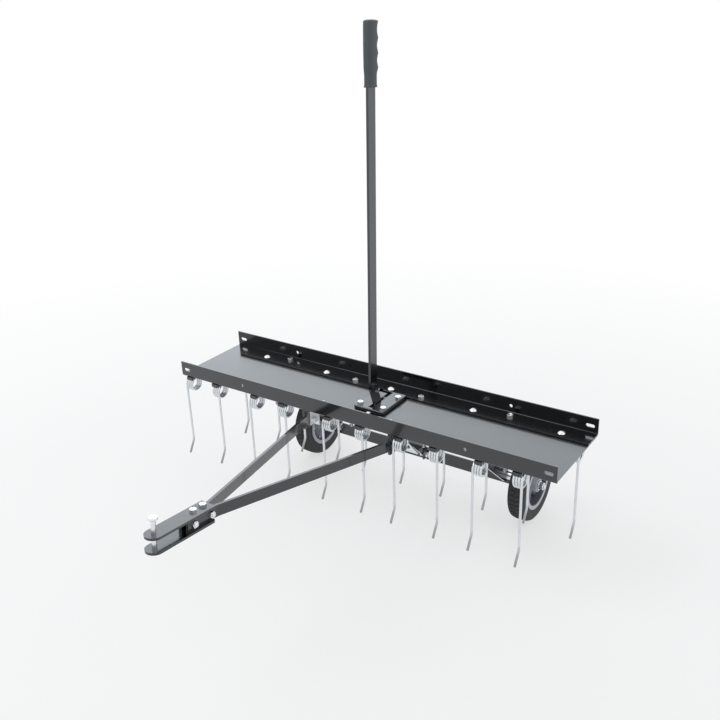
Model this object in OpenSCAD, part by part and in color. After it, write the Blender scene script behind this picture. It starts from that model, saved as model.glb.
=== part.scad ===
// Tow-behind tine rake: a steel tray on two wheels, with two rows of double spring tines,
// a lift lever that swings the wheels, and an A-shaped tongue with a hitch channel.
// X runs across the machine, +Y points to its back and +Z points up. Wheels stand at z = 0.

/* [Tray] */
// Length of the tray across the machine
tray_w = 1016; // [940:1:1120]
// Depth of the deck between the upright legs of its two angles
tray_d = 216; // [206:1:236]
// Thickness of the deck sheet
deck_t = 2; // [1.5:0.1:4]
// Height of the deck's top over the ground with the wheels down
ride_h = 322; // [310:1:350]
// Width of the opening in the deck for the lever
opening_w = 10; // [9:0.5:14]
// Front end of that opening, from the tray's middle
opening_front = 56; // [50:1:60]
// Back end of that opening, from the tray's middle
opening_back = 52; // [40:1:53]

/* [Angles] */
// Width of each angle's flat leg
leg_w = 57; // [50:1:62]
// Height of each angle's upright leg
leg_h = 38; // [28:1:45]
// Thickness of the angles
leg_t = 3; // [2:0.1:4]
// Length of the mitre at one end of the flat leg
mitre_l = 53; // [20:1:54]
// Length of the slots at the ends of the upright leg
end_slot_l = 20; // [12:1:30]
// Width of those slots, and the bore of the plain holes
leg_hole_d = 8; // [6:0.5:10]
// Distance from the angle's end to the middle of its slot
end_slot_in = 18; // [16:1:30]
// Height of the slots and holes over the flat leg's underside
leg_hole_z = 18.5; // [12:0.5:22]
// Distance of the plain holes from the tray's middle
leg_hole_x = 304.8; // [280:0.1:330]

/* [Fasteners] */
// Diameter of the bolts through the tray, the tines and the tongue
bolt_d = 8; // [6:0.5:8]
// Width of their hexagons across the flats
hex_af = 13; // [10:0.5:13]
// Height of a bolt's head
head_h = 5.3; // [3:0.1:7]
// Height of a nut
nut_h = 6.5; // [4:0.1:8]
// How far a bolt's end stands out of its nut
bolt_end = 3; // [1:0.5:6]
// Distance of the outer deck bolts from the tray's middle
outer_bolt_x = 313; // [300:1:330]
// Distance of the outer deck bolts from the edge of the deck
outer_bolt_in = 20; // [12:1:26]
// Distance of the inner deck bolts from the tray's middle
inner_bolt_x = 93.6; // [88:0.1:98]
// Distance of the inner deck bolts from the edge of the deck
inner_bolt_in = 39; // [34:1:44]

/* [Tines] */
// Diameter of the spring wire
wire_d = 5.5; // [4:0.1:6]
// Outer diameter of a coil
coil_d = 40; // [34:1:42]
// Clear gap between neighbouring turns
turn_gap = 0.5; // [0.45:0.05:1]
// Whole turns in a coil, before the quarter turn that leads to the clamp
whole_turns = 3; // [2:1:3]
// Distance between the two rods of a double tine
fork_w = 110; // [104:1:116]
// Length of a tine from its pad down to its tips
tine_drop = 212; // [190:1:230]
// Height of the bent tip of a rod
tip_h = 32; // [20:1:40]
// How far a tip leans forward
tip_lean = 18; // [0:1:30]
// Distance from the tine bolt forward to the coil's axis
coil_ahead = 20; // [17:0.5:22]
// Distance from the tine bolt back to the wire that crosses behind it
cross_back = 8.5; // [8:0.1:10]
// Distance from the tine bolts to the edge of the deck
tine_bolt_in = 33; // [31:1:36]
// Length of the tine bolts under their heads
tine_bolt_l = 33; // [31:1:38]
// Diameter of their round heads
tine_head_d = 18; // [14:1:20]
// Height of their round heads
tine_head_h = 4.5; // [3:0.1:6]
// Thickness of the pads over the springs
pad_t = 2.5; // [2:0.1:4]
// Length of a pad along the row
pad_w = 104; // [96:1:108]
// Thickness of the clamp plates under the springs
clamp_t = 3; // [2:0.1:5]
// Length of a clamp plate along the row
clamp_w = 22; // [16:1:24]

/* [Lift lever] */
// Distance of the lever from the tray's middle plane
lever_x = 24.3; // [22:0.1:26]
// Width of the lever's flat bar
lever_w = 25.4; // [20:0.1:26]
// Thickness of the lever's flat bar
lever_t = 6; // [5:0.1:7]
// Height of the lever's top over the deck
lever_top = 834; // [700:1:900]
// Length of the grip
grip_l = 122; // [100:1:140]
// Depth of the grip, front to back
grip_d = 36; // [32:1:40]
// Width of the grip
grip_w = 25; // [18:1:28]
// Width of the lever's base plate
base_w = 80; // [78:1:100]
// Depth of the lever's base plate
base_d = 105; // [100:1:106]
// Height of the lever's base plate over the deck
base_h = 9; // [8:0.5:14]
// Sheet of the lever's base plate
base_t = 3; // [2:0.1:4]

/* [Wheels] */
// Diameter of the tyres
wheel_d = 184; // [160:1:190]
// Diameter of the rims
rim_d = 118; // [100:1:130]
// Width of a wheel
wheel_w = 44; // [36:1:50]
// Gap between the ends of the crossbar and the wheels
wheel_gap = 13; // [6:0.5:16]
// Number of spokes in a rim
spokes = 6; // [4:1:8]
// Distance of the wheel axles behind the tray's middle
axle_y = 205; // [200:1:230]
// Diameter of the wheel bolts
axle_d = 12; // [10:0.5:14]

/* [Swing frame] */
// Distance of the pivots ahead of the tray's middle
pivot_ahead = 28; // [26:1:30]
// Depth of the pivots under the deck's top
pivot_drop = 20; // [18:1:24]
// Diameter of the pivot bolts
pivot_d = 10; // [8:0.5:12]
// Width of the swing arms
arm_w = 30; // [26:1:32]
// Thickness of the swing arms
arm_t = 6; // [4:0.1:6.5]
// Distance from the tray's middle plane to the inner face of each arm
arm_x = 250.4; // [249.5:0.1:252]
// Length of the crossbar
crossbar_l = 570; // [540:1:578]
// Height of the crossbar
crossbar_h = 34; // [30:1:44]
// Thickness of the crossbar
crossbar_t = 3; // [3:0.1:6]

/* [Tongue] */
// Upward slope of the tongue, in degrees
tongue_rise = 5.7; // [4:0.1:8]
// Height of the drawbars
bar_h = 24; // [20:0.5:28]
// Thickness of the drawbars
bar_t = 6; // [4:0.1:6.5]
// Distance of the drawbars' back ends from the tray's middle plane
bar_x = 118; // [116:1:120]
// Length of the tongue from the tray's front to the back of the hitch channel
tongue_l = 454; // [380:1:520]
// Length of the hitch channel, with its round nose
channel_l = 155.5; // [145:0.5:200]
// Width of the hitch channel
channel_w = 35.5; // [34:0.5:40]
// Wall of the hitch channel
channel_t = 5; // [4:0.1:6]
// Diameter of the hitch pin
pin_d = 9.5; // [8:0.1:12.7]
// Length of the hitch pin under its head
pin_l = 68; // [60:1:80]
// How far the hitch pin is pulled up
pin_up = 28; // [10:1:31]

/* [Hidden] */
$fn = 48;
// Clearance of a bolt in a plain hole, on the radius
hole_play = 0.3;
// Clearance of a turning or sliding fit, on the radius
run_play = 0.06;
// Clearance between parts that pass each other
side_play = 0.4;
// Clearance of a nut around its bolt, on the radius
nut_play = 0.05;
// How far a cut runs past the face that it opens
over = 1;

half_w = tray_w / 2;
half_d = tray_d / 2;
deck_under = -deck_t;
bolt_r = bolt_d / 2;
hole_r = bolt_r + hole_play;

// Places of the tines along the back row. The front row is the same row turned half round.
left_tine_in = 128;
right_tine_in = 68;
back_tines = [left_tine_in - half_w, -185, 7, 228, half_w - right_tine_in];
front_tines = [for (i = [len(back_tines) - 1 : -1 : 0]) -back_tines[i]];
tine_y = half_d - tine_bolt_in;
outer_bolt_y = half_d - outer_bolt_in;
inner_bolt_y = half_d - inner_bolt_in;
deck_bolts = [
    [-outer_bolt_x, outer_bolt_y],
    [-inner_bolt_x, inner_bolt_y],
    [inner_bolt_x, inner_bolt_y],
    [outer_bolt_x, outer_bolt_y]
];

// Springs. A spring's own frame has the tine bolt as its Z axis and the pad's underside as z = 0.
wire_r = wire_d / 2;
coil_r = coil_d / 2 - wire_r;
turn_pitch = wire_d + turn_gap;
coil_z = -wire_r - coil_r;
rings_per_turn = 8;
wire_sides = 6;
cross_bend_r = 6;
quarter_turn = 90;
coil_angle = whole_turns * 360 + quarter_turn;
inner_x = fork_w / 2 - turn_pitch * coil_angle / 360;

pad_front = 26;
pad_back = 13;
prong_w = 18;
prong_front = 38;
prong_lip = 8;
tab_x = 24;
tab_l = 9;
tab_w = 2.5;
tab_play = 0.5;
tab_out = 1;
clamp_d = 22;
clamp_y = 3;

// Heights of the two rows, from the deck's top: the back row's pads lie on the deck's underside,
// and the front row's under the front angle.
back_pad_top = deck_under;
front_pad_top = deck_under - leg_t;

// Lever base
base_front = -51.4;
base_x0 = lever_x - base_w / 2;
base_bolt_dx = 31;
base_bolt_front = -36;
base_bolt_back = 29;
slot_front = -43.5;
slot_back = 48;
slot_branch_w = 10;
slot_branch_l = 28;
slot_end_l = 4;

// Swing frame, seen from the side as [y, z] from the deck's top
pivot = [-pivot_ahead, -pivot_drop];
wheel_r = wheel_d / 2;
axle = [axle_y, wheel_r - ride_h];
arm_r = arm_w / 2;
arm_angle = atan2(axle[1] - pivot[1], axle[0] - pivot[0]);
arm_span = norm(axle - pivot);
arm_out_x = arm_x + arm_t;
crossbar_off = 10;
crossbar_up = 6;
crossbar_y = axle_y + crossbar_off;
crossbar_top = axle[1] + crossbar_up;
ear_t = 5;
ear_x = arm_x - side_play;
ear_w = 36;
ear_foot = 28;
ear_foot_t = 4;
ear_drop = 38;
pivot_head_h = 6;
pivot_hex_af = 16;
pivot_nut_h = 8;

// Lever, from its top down to the crossbar
lever_lean = 3;
lever_knee = [-29, 55];
lever_heel = [-2, -22];
lever_foot_in = 6;
lever_foot_drop = 5;
lever_foot = [crossbar_y - lever_foot_in, axle[1] - lever_foot_drop];
lever_foot_l = 20;
lever_path = [
    [lever_lean, lever_top],
    lever_knee,
    lever_heel,
    lever_foot + lever_foot_l * (lever_foot - lever_heel) / norm(lever_foot - lever_heel)
];
lever_x0 = lever_x - lever_t / 2;
lever_angle = atan2(lever_path[0][1] - lever_knee[1], lever_path[0][0] - lever_knee[0]);
clip_leg = 30;
clip_t = 4;
clip_h = 20;
clip_bolt_in = 19;
clip_bolt_drop = 2;
clip_bolt_z = axle[1] - clip_bolt_drop;
clip_bolt_y = crossbar_y - clip_bolt_in;
clip_hole_x = lever_x0 + lever_t + (clip_leg + clip_t) / 2;
grip_play = 0.1;
grip_over = 4;
finger_count = 4;
finger_r = 9;
finger_pitch = 21;
finger_out = 2.5;
finger_w = 15;
collar_h = 9;
collar_out = 2;

// Wheels
wheel_x = crossbar_l / 2 + wheel_gap + wheel_w / 2;
axle_r = axle_d / 2;
rim_r = rim_d / 2;
bush_wall = 4;
bush_r = axle_r + bush_wall;
hub_wall = 7;
hub_r = bush_r + hub_wall;
rim_wall = 5;
rim_lip = 3;
rim_in = 3;
spoke_w = 13;
spoke_in = 9;
tyre_shoulder = 10;
tread_groove_w = 3;
tread_groove_d = 2.5;
washer_t = 2;
washer_r = 12;
axle_af = 18;
axle_head_h = 7;
axle_nut_h = 10;
sleeve_r = 8;
wheel_in = wheel_x - wheel_w / 2;
wheel_out = wheel_x + wheel_w / 2;

// Tongue, in its own sloping frame: y = 0 under the tray's front and z = 0 along its top edge
tongue_in = 8;
tongue_y = tongue_in - half_d;
tongue_z = -24;
channel_x0 = -17;
channel_in = channel_x0 + channel_t;
channel_x1 = channel_x0 + channel_w;
nose_r = channel_w / 2;
nose_x = channel_x0 + nose_r;
channel_front = -(tongue_l + channel_l);
nose_y = channel_front + nose_r;
web_l = 62;
web_front = -(tongue_l + web_l);
bolt_room = 3.5;
bars_gap = bolt_d + bolt_room;
left_bar_x = channel_in + bar_t / 2;
right_bar_x = left_bar_x + bar_t + bars_gap;
between_bars = left_bar_x + bar_t / 2 + bars_gap / 2;
bar_in_channel = 65;
bar_front = -(tongue_l + bar_in_channel);
left_bend_in = 4;
right_bend_in = 6;
bar_end_back = 42;
bar_end_y = bar_end_back - half_d;
bar_end_top = front_pad_top;
bar_end_front = -(half_d + leg_t);
bar_end_low = -55;
side_bolt_in = [51, 6];
side_bolt_y = [for (far = side_bolt_in) -(tongue_l + far)];
side_bolt_z = -bar_h / 2;
top_bolt_in = [40, 15];
top_bolt_y = [for (far = top_bolt_in) -(tongue_l + far)];
pin_head_d = 18;
pin_head_h = 5;
channel_h = bar_h + 2 * channel_t;
channel_low = channel_t - channel_h;

// Brackets between the drawbars and the tray
bracket_t = 3;
bracket_in = 13;
bracket_front = bracket_in - half_d;
bracket_over = 4;
bracket_back = bar_end_y + bracket_over;
bracket_low = -52;
bracket_foot = 30;
bracket_bolt_in = 30;
bracket_bolt_y = bracket_bolt_in - half_d;
bracket_bolt_z = -42;
wing_l = 50;
wing_low = -65;
wing_tip = -62;
wing_top = -22;
wing_hole_x = 22.5;
wing_hole_up = 12;
bracket_x = bar_x - bar_t / 2;

// The model's Y = 0 lies halfway between the hitch's nose and the backs of the wheels
rise_cos = cos(tongue_rise);
rise_sin = sin(tongue_rise);
nose_top_y = tongue_y + channel_front * rise_cos + channel_t * rise_sin;
nose_low_y = tongue_y + channel_front * rise_cos + channel_low * rise_sin;
front_y = min(nose_top_y, nose_low_y);
back_y = axle_y + wheel_r;
tray_y = -(front_y + back_y) / 2;

black = "#26282b";
deck_black = "#3a3d41";
zinc = "#d5d8da";
rim_grey = "#9a9fa6";
tyre_black = "#232526";
grip_grey = "#2e3136";

// Puts children in the tray's frame, with z = 0 on the deck's top
module at_tray() {
    translate([0, tray_y, ride_h])
        children();
}

// Puts children in the tongue's sloping frame
module at_tongue() {
    at_tray()
        translate([0, tongue_y, tongue_z])
            rotate([-tongue_rise, 0, 0])
                children();
}

// Puts children on the tray, turned half round as the front row is
module half_round(on) {
    rotate([0, 0, on ? 180 : 0])
        children();
}

// Lays children out at the right side and mirrored at the left side
module both_sides() {
    children();
    mirror([1, 0, 0])
        children();
}

module side(left) {
    mirror([left ? 1 : 0, 0, 0])
        children();
}

// A hexagon prism from z = 0 up, with flats towards X
module hexagon(flats, height) {
    rotate([0, 0, 30])
        cylinder(d = flats / cos(30), h = height, $fn = 6);
}

// A hexagon bolt pointing down from its seat at z = 0
module hex_bolt(d, flats, head, length) {
    hexagon(flats, head);
    translate([0, 0, -length])
        cylinder(d = d, h = length + head / 2);
}

// A nut hanging under its seat at z = 0
module nut(d, flats, height) {
    difference() {
        translate([0, 0, -height])
            hexagon(flats, height);
        translate([0, 0, -height - over])
            cylinder(r = d / 2 + nut_play, h = height + 2 * over);
    }
}

// A hole straight down through z = 0
module hole(r, depth) {
    translate([0, 0, -depth])
        cylinder(r = r, h = 2 * depth);
}

// A slot along X with round ends, as a flat shape
module slot_shape(length, width) {
    square([length - width, width], center = true);
    for (end = [-1, 1])
        translate([end * (length - width) / 2, 0])
            circle(d = width);
}

// A bar along X from x0 outwards, laid with its flat shape in the Y-Z plane
module side_plate(x0, thickness) {
    translate([x0, 0, 0])
        rotate([90, 0, 90])
            linear_extrude(thickness)
                children();
}

// A cylinder along X
module side_rod(x0, x1, r, y, z) {
    translate([x0, y, z])
        rotate([0, 90, 0])
            cylinder(r = r, h = x1 - x0);
}

// Tray

module tab_slots(x) {
    for (end = [-1, 1])
        translate([x + end * tab_x, 0, 0])
            cube([tab_l + 2 * tab_play, tab_w + 2 * tab_play, 4 * leg_h], center = true);
}

module row_holes(places) {
    for (x = places) {
        translate([x, tine_y, 0])
            hole(hole_r, leg_h);
        translate([0, tine_y, 0])
            tab_slots(x);
    }
    for (place = deck_bolts)
        translate([place[0], place[1], 0])
            hole(hole_r, leg_h);
}

module tray_deck() {
    color(deck_black)
        at_tray()
            difference() {
                translate([-half_w, -half_d, deck_under])
                    cube([tray_w, tray_d, deck_t]);
                row_holes(back_tines);
                half_round(true)
                    row_holes(back_tines);
                translate([lever_x - opening_w / 2, -opening_front, -over - deck_t])
                    cube([opening_w, opening_front + opening_back, deck_t + 2 * over]);
                for (end = [-1, 1], y = [base_bolt_front, base_bolt_back])
                    translate([lever_x + end * base_bolt_dx, y, 0])
                        hole(hole_r, leg_h);
            }
}

// One angle, with the underside of its flat leg at z = 0 and its upright leg at the back
module angle_bar() {
    flat_front = half_d + leg_t - leg_w;
    difference() {
        union() {
            linear_extrude(leg_t)
                polygon([
                    [-half_w, half_d + leg_t],
                    [half_w, half_d + leg_t],
                    [half_w, flat_front],
                    [-half_w + mitre_l, flat_front]
                ]);
            translate([-half_w, half_d, 0])
                cube([tray_w, leg_t, leg_h]);
        }
        row_holes(back_tines);
        for (end = [-1, 1]) {
            translate([end * (half_w - end_slot_in), half_d - over, leg_hole_z])
                rotate([-90, 0, 0])
                    linear_extrude(leg_t + 2 * over)
                        slot_shape(end_slot_l, leg_hole_d);
            translate([end * leg_hole_x, half_d - over, leg_hole_z])
                rotate([-90, 0, 0])
                    cylinder(d = leg_hole_d, h = leg_t + 2 * over);
        }
    }
}

module front_angle() {
    color(black)
        at_tray()
            translate([0, 0, deck_under - leg_t])
                half_round(true)
                    angle_bar();
}

module rear_angle() {
    color(black)
        at_tray()
            angle_bar();
}

module row_of_deck_bolts(seat) {
    grip = leg_t + deck_t;
    for (place = deck_bolts) {
        under = (seat == 0 && abs(place[0]) == inner_bolt_x) ? bracket_t : 0;
        translate([place[0], place[1], seat])
            hex_bolt(bolt_d, hex_af, head_h, grip + under + nut_h + bolt_end);
    }
}

module front_deck_bolts() {
    color(zinc)
        at_tray()
            half_round(true)
                row_of_deck_bolts(0);
}

module rear_deck_bolts() {
    color(zinc)
        at_tray()
            row_of_deck_bolts(leg_t);
}

module deck_nuts() {
    color(zinc)
        at_tray()
            for (place = deck_bolts) {
                under = abs(place[0]) == inner_bolt_x ? bracket_t : 0;
                translate([place[0], place[1], deck_under])
                    nut(bolt_d, hex_af, nut_h);
                translate([-place[0], -place[1], front_pad_top - under])
                    nut(bolt_d, hex_af, nut_h);
            }
}

// Spring tines

// One end of a spring's middle line, from the tip of a rod to the corner of the crossing wire.
// Each entry holds a point, the wire's direction there and the direction of its first side.
function coil_place(turned) =
    let (a = 180 - turned)
    [
        [fork_w / 2 - turn_pitch * turned / 360,
         -coil_ahead + coil_r * cos(a),
         coil_z + coil_r * sin(a)],
        [0, sin(a), -cos(a)],
        [0, cos(a), sin(a)]
    ];

function corner_place(turned) =
    [
        [inner_x - cross_bend_r * (1 - cos(turned)),
         cross_back - cross_bend_r * (1 - sin(turned)),
         -wire_r],
        [-sin(turned), cos(turned), 0],
        [0, 0, 1]
    ];

rod_y = -coil_ahead - coil_r;
tip_dir = [0, tip_lean, tip_h] / norm([0, tip_lean, tip_h]);
bend_dir = (tip_dir + [0, 0, 1]) / norm(tip_dir + [0, 0, 1]);
spring_half = concat(
    [
        [[fork_w / 2, rod_y - tip_lean, -tine_drop], tip_dir, [0, -tip_dir[2], tip_dir[1]]],
        [[fork_w / 2, rod_y, -tine_drop + tip_h], bend_dir, [0, -bend_dir[2], bend_dir[1]]]
    ],
    [for (k = [0 : coil_angle / 360 * rings_per_turn]) coil_place(k * 360 / rings_per_turn)],
    [for (turned = [0 : 30 : 90]) corner_place(turned)]
);

function mirrored(entry) =
    [
        [-entry[0][0], entry[0][1], entry[0][2]],
        [entry[1][0], -entry[1][1], -entry[1][2]],
        [-entry[2][0], entry[2][1], entry[2][2]]
    ];

spring_path = concat(
    spring_half,
    [for (i = [len(spring_half) - 1 : -1 : 0]) mirrored(spring_half[i])]
);

// Least gap of the wire to itself, measured between points that lie apart along it
near_steps = 6;
spring_gap = min([
    for (i = [0 : len(spring_path) - 1])
        for (j = [i + near_steps : 1 : len(spring_path) - 1])
            norm(spring_path[i][0] - spring_path[j][0]) - wire_d
]);
echo(str("Least gap between the turns of a spring: ", spring_gap, " mm"));

function wire_ring(entry) =
    let (out = entry[2], beside = cross(entry[1], entry[2]))
    [
        for (k = [0 : wire_sides - 1])
            let (a = 360 * k / wire_sides)
            entry[0] + wire_r * (cos(a) * out + sin(a) * beside)
    ];

module spring_wire() {
    rings = len(spring_path);
    last = (rings - 1) * wire_sides;
    polyhedron(
        points = [for (entry = spring_path) each wire_ring(entry)],
        faces = concat(
            [
                for (i = [0 : rings - 2], k = [0 : wire_sides - 1])
                    let (a = i * wire_sides + k, b = i * wire_sides + (k + 1) % wire_sides)
                    each [[a, a + wire_sides, b], [b, a + wire_sides, b + wire_sides]]
            ],
            [for (k = [1 : wire_sides - 2]) [0, k, k + 1]],
            [for (k = [1 : wire_sides - 2]) [last, last + k + 1, last + k]]
        ),
        convexity = 10
    );
}

// Height of a row's pads, and the places of its tines
function row_top(front) = (front ? front_pad_top : back_pad_top);
function row_y(front) = (front ? -tine_y : tine_y);
function row_places(front) = (front ? front_tines : back_tines);

module tine(front, index) {
    color(zinc)
        at_tray()
            translate([row_places(front)[index], row_y(front), row_top(front) - pad_t])
                spring_wire();
}

module along_row(front) {
    at_tray()
        for (x = row_places(front))
            translate([x, row_y(front), row_top(front)])
                children();
}

// A pad with a lipped prong over each coil and a tab on each side of its bolt
module tine_pads(front) {
    tab_h = pad_t + leg_t + deck_t + tab_out;
    prong_x = (pad_w - prong_w) / 2;
    color(black)
        along_row(front)
            difference() {
                union() {
                    translate([-pad_w / 2, -pad_front, -pad_t])
                        cube([pad_w, pad_front + pad_back, pad_t]);
                    for (end = [-1, 1]) {
                        translate([end * prong_x - prong_w / 2, -prong_front, -pad_t])
                            cube([prong_w, prong_front, pad_t]);
                        translate([end * prong_x - prong_w / 2, -prong_front, -prong_lip])
                            cube([prong_w, pad_t, prong_lip]);
                        translate([end * tab_x - tab_l / 2, -tab_w / 2, -pad_t])
                            cube([tab_l, tab_w, tab_h]);
                    }
                }
                hole(hole_r, leg_h);
            }
}

module tine_clamps(front) {
    color(zinc)
        along_row(front)
            difference() {
                translate([-clamp_w / 2, clamp_y - clamp_d / 2, -pad_t - wire_d - clamp_t])
                    cube([clamp_w, clamp_d, clamp_t]);
                hole(hole_r, leg_h);
            }
}

module tine_bolts(front) {
    seat = deck_t + leg_t;
    cap_r = (pow(tine_head_d / 2, 2) + pow(tine_head_h, 2)) / (2 * tine_head_h);
    color(zinc)
        along_row(front)
            translate([0, 0, seat]) {
                intersection() {
                    translate([0, 0, tine_head_h - cap_r])
                        sphere(r = cap_r);
                    cylinder(d = tine_head_d, h = tine_head_h + over);
                }
                translate([0, 0, -tine_bolt_l])
                    cylinder(d = bolt_d, h = tine_bolt_l + tine_head_h / 2);
            }
}

module tine_nuts(front) {
    color(zinc)
        along_row(front)
            translate([0, 0, -pad_t - wire_d - clamp_t])
                nut(bolt_d, hex_af, nut_h);
}

// Lever base

module lever_base() {
    slot_x0 = lever_x - opening_w / 2;
    branch_x0 = slot_x0 - slot_branch_l;
    color(black)
        at_tray()
            difference() {
                translate([base_x0, base_front, 0])
                    difference() {
                        cube([base_w, base_d, base_h]);
                        translate([base_t, base_t, -over])
                            cube([base_w - 2 * base_t, base_d - 2 * base_t, base_h - base_t + over]);
                    }
                translate([slot_x0, slot_front, -over])
                    cube([opening_w, slot_back - slot_front, base_h + 2 * over]);
                translate([branch_x0, slot_back - slot_branch_w, base_h - base_t - over])
                    cube([slot_branch_l + over, slot_branch_w, base_t + 2 * over]);
                translate([branch_x0, slot_back - over, base_h - base_t - over])
                    cube([slot_branch_w, slot_end_l + over, base_t + 2 * over]);
                for (end = [-1, 1], y = [base_bolt_front, base_bolt_back])
                    translate([lever_x + end * base_bolt_dx, y, 0])
                        hole(hole_r, leg_h);
            }
}

module at_base_bolts(z) {
    at_tray()
        for (end = [-1, 1], y = [base_bolt_front, base_bolt_back])
            translate([lever_x + end * base_bolt_dx, y, z])
                children();
}

module lever_base_bolts() {
    color(zinc)
        at_base_bolts(base_h)
            hex_bolt(bolt_d, hex_af, head_h, base_h + deck_t + nut_h + bolt_end);
}

module lever_base_nuts() {
    color(zinc)
        at_base_bolts(deck_under)
            nut(bolt_d, hex_af, nut_h);
}

// Swing frame

module pivot_ear(left) {
    color(black)
        at_tray()
            side(left)
                difference() {
                    union() {
                        side_plate(ear_x - ear_t, ear_t) {
                            translate([pivot[0] - ear_w / 2, pivot[1]])
                                square([ear_w, -pivot[1] - deck_t]);
                            translate(pivot)
                                circle(d = ear_w);
                        }
                        translate([ear_x - ear_foot, pivot[0] - ear_w / 2, deck_under - ear_foot_t])
                            cube([ear_foot, ear_w, ear_foot_t]);
                    }
                    side_rod(ear_x - ear_t - over, ear_x + over, pivot_d / 2 + hole_play,
                        pivot[0], pivot[1]);
                    translate([0, pivot[0] - ear_w, deck_under])
                        cube([2 * ear_x, 2 * ear_w, ear_w]);
                }
}

module pivot_bolts() {
    length = arm_out_x + 2 * side_play + pivot_nut_h + bolt_end;
    color(zinc)
        at_tray()
            both_sides()
                translate([ear_x - ear_t, pivot[0], pivot[1]])
                    rotate([0, -90, 0])
                        hex_bolt(pivot_d, pivot_hex_af, pivot_head_h, length - (ear_x - ear_t));
}

module pivot_nuts() {
    color(zinc)
        at_tray()
            both_sides()
                translate([arm_out_x + side_play, pivot[0], pivot[1]])
                    rotate([0, -90, 0])
                        nut(pivot_d, pivot_hex_af, pivot_nut_h);
}

module swing_arm(left) {
    color(black)
        at_tray()
            side(left)
                side_plate(arm_x, arm_t)
                    difference() {
                        union() {
                            translate(pivot)
                                rotate(arm_angle)
                                    translate([0, -arm_r])
                                        square([arm_span, arm_w]);
                            translate(pivot)
                                circle(r = arm_r);
                            translate(axle)
                                circle(r = arm_r);
                        }
                        translate(pivot)
                            circle(r = pivot_d / 2 + run_play);
                        translate(axle)
                            circle(r = axle_r + nut_play);
                        translate([crossbar_y, axle[1] - arm_w])
                            square([arm_w, 2 * arm_w]);
                    }
}

module crossbar() {
    color(black)
        at_tray()
            difference() {
                translate([-crossbar_l / 2, crossbar_y, crossbar_top - crossbar_h])
                    cube([crossbar_l, crossbar_t, crossbar_h]);
                translate([clip_hole_x, crossbar_y - over, clip_bolt_z])
                    rotate([-90, 0, 0])
                        cylinder(r = hole_r, h = crossbar_t + 2 * over);
            }
}

// Flat outline of a bar that follows a path, with mitred corners
function left_of(step) = [-step[1], step[0]] / norm(step);
function mitre_out(path, i) =
    let (
        before = left_of(path[max(i, 1)] - path[max(i, 1) - 1]),
        after = left_of(path[min(i, len(path) - 2) + 1] - path[min(i, len(path) - 2)])
    )
    (before + after) / (1 + before * after);

module bar_outline(path, width) {
    polygon(concat(
        [for (i = [0 : len(path) - 1]) path[i] + width / 2 * mitre_out(path, i)],
        [for (i = [len(path) - 1 : -1 : 0]) path[i] - width / 2 * mitre_out(path, i)]
    ));
}

module lift_lever() {
    color(black)
        at_tray()
            difference() {
                side_plate(lever_x0, lever_t)
                    difference() {
                        bar_outline(lever_path, lever_w);
                        translate([crossbar_y, lever_foot[1] - 2 * lever_w])
                            square([2 * lever_w, 4 * lever_w]);
                    }
                side_rod(lever_x0 - over, lever_x0 + lever_t + over, hole_r, clip_bolt_y, clip_bolt_z);
            }
}

module lever_clip() {
    x0 = lever_x0 + lever_t;
    color(black)
        at_tray()
            difference() {
                union() {
                    translate([x0, crossbar_y - clip_leg, clip_bolt_z - clip_h / 2])
                        cube([clip_t, clip_leg, clip_h]);
                    translate([x0, crossbar_y - clip_t, clip_bolt_z - clip_h / 2])
                        cube([clip_leg, clip_t, clip_h]);
                }
                side_rod(x0 - over, x0 + clip_t + over, hole_r, clip_bolt_y, clip_bolt_z);
                translate([clip_hole_x, crossbar_y - clip_t - over, clip_bolt_z])
                    rotate([-90, 0, 0])
                        cylinder(r = hole_r, h = clip_t + 2 * over);
            }
}

module lever_bolts() {
    x0 = lever_x0 + lever_t;
    across = lever_t + clip_t;
    through = crossbar_t + clip_t;
    color(zinc)
        at_tray() {
            translate([lever_x0, clip_bolt_y, clip_bolt_z])
                rotate([0, -90, 0])
                    hex_bolt(bolt_d, hex_af, head_h, across + nut_h + bolt_end);
            translate([x0 + clip_t, clip_bolt_y, clip_bolt_z])
                rotate([0, -90, 0])
                    nut(bolt_d, hex_af, nut_h);
            translate([clip_hole_x, crossbar_y + crossbar_t, clip_bolt_z]) {
                rotate([-90, 0, 0])
                    hex_bolt(bolt_d, hex_af, head_h, through + nut_h + bolt_end);
                translate([0, -through, 0])
                    rotate([-90, 0, 0])
                        nut(bolt_d, hex_af, nut_h);
            }
        }
}

module lever_grip() {
    bar_d = lever_w + 2 * grip_play;
    flat = grip_d - grip_w;
    color(grip_grey)
        at_tray()
            translate([lever_x, lever_path[0][0], lever_path[0][1]])
                rotate([lever_angle - 90, 0, 0])
                    difference() {
                        union() {
                            translate([0, 0, grip_over - grip_l])
                                linear_extrude(grip_l) {
                                    square([grip_w, flat], center = true);
                                    for (end = [-1, 1])
                                        translate([0, end * flat / 2])
                                            circle(d = grip_w);
                                }
                            for (i = [0 : finger_count - 1])
                                translate([0, grip_d / 2 - finger_r + finger_out,
                                    -finger_pitch * (i + 0.5)])
                                    rotate([0, 90, 0])
                                        cylinder(r = finger_r, h = finger_w, center = true);
                            translate([0, 0, grip_over - grip_l])
                                linear_extrude(collar_h) {
                                    square([grip_w + 2 * collar_out, flat], center = true);
                                    for (end = [-1, 1])
                                        translate([0, end * flat / 2])
                                            circle(d = grip_w + 2 * collar_out);
                                }
                        }
                        translate([-lever_t / 2 - grip_play, -bar_d / 2, -grip_l])
                            cube([lever_t + 2 * grip_play, bar_d, grip_l]);
                    }
}

// Wheels

module wheel_frame(left) {
    at_tray()
        side(left)
            translate([wheel_x, axle[0], axle[1]])
                rotate([0, 90, 0])
                    children();
}

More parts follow.
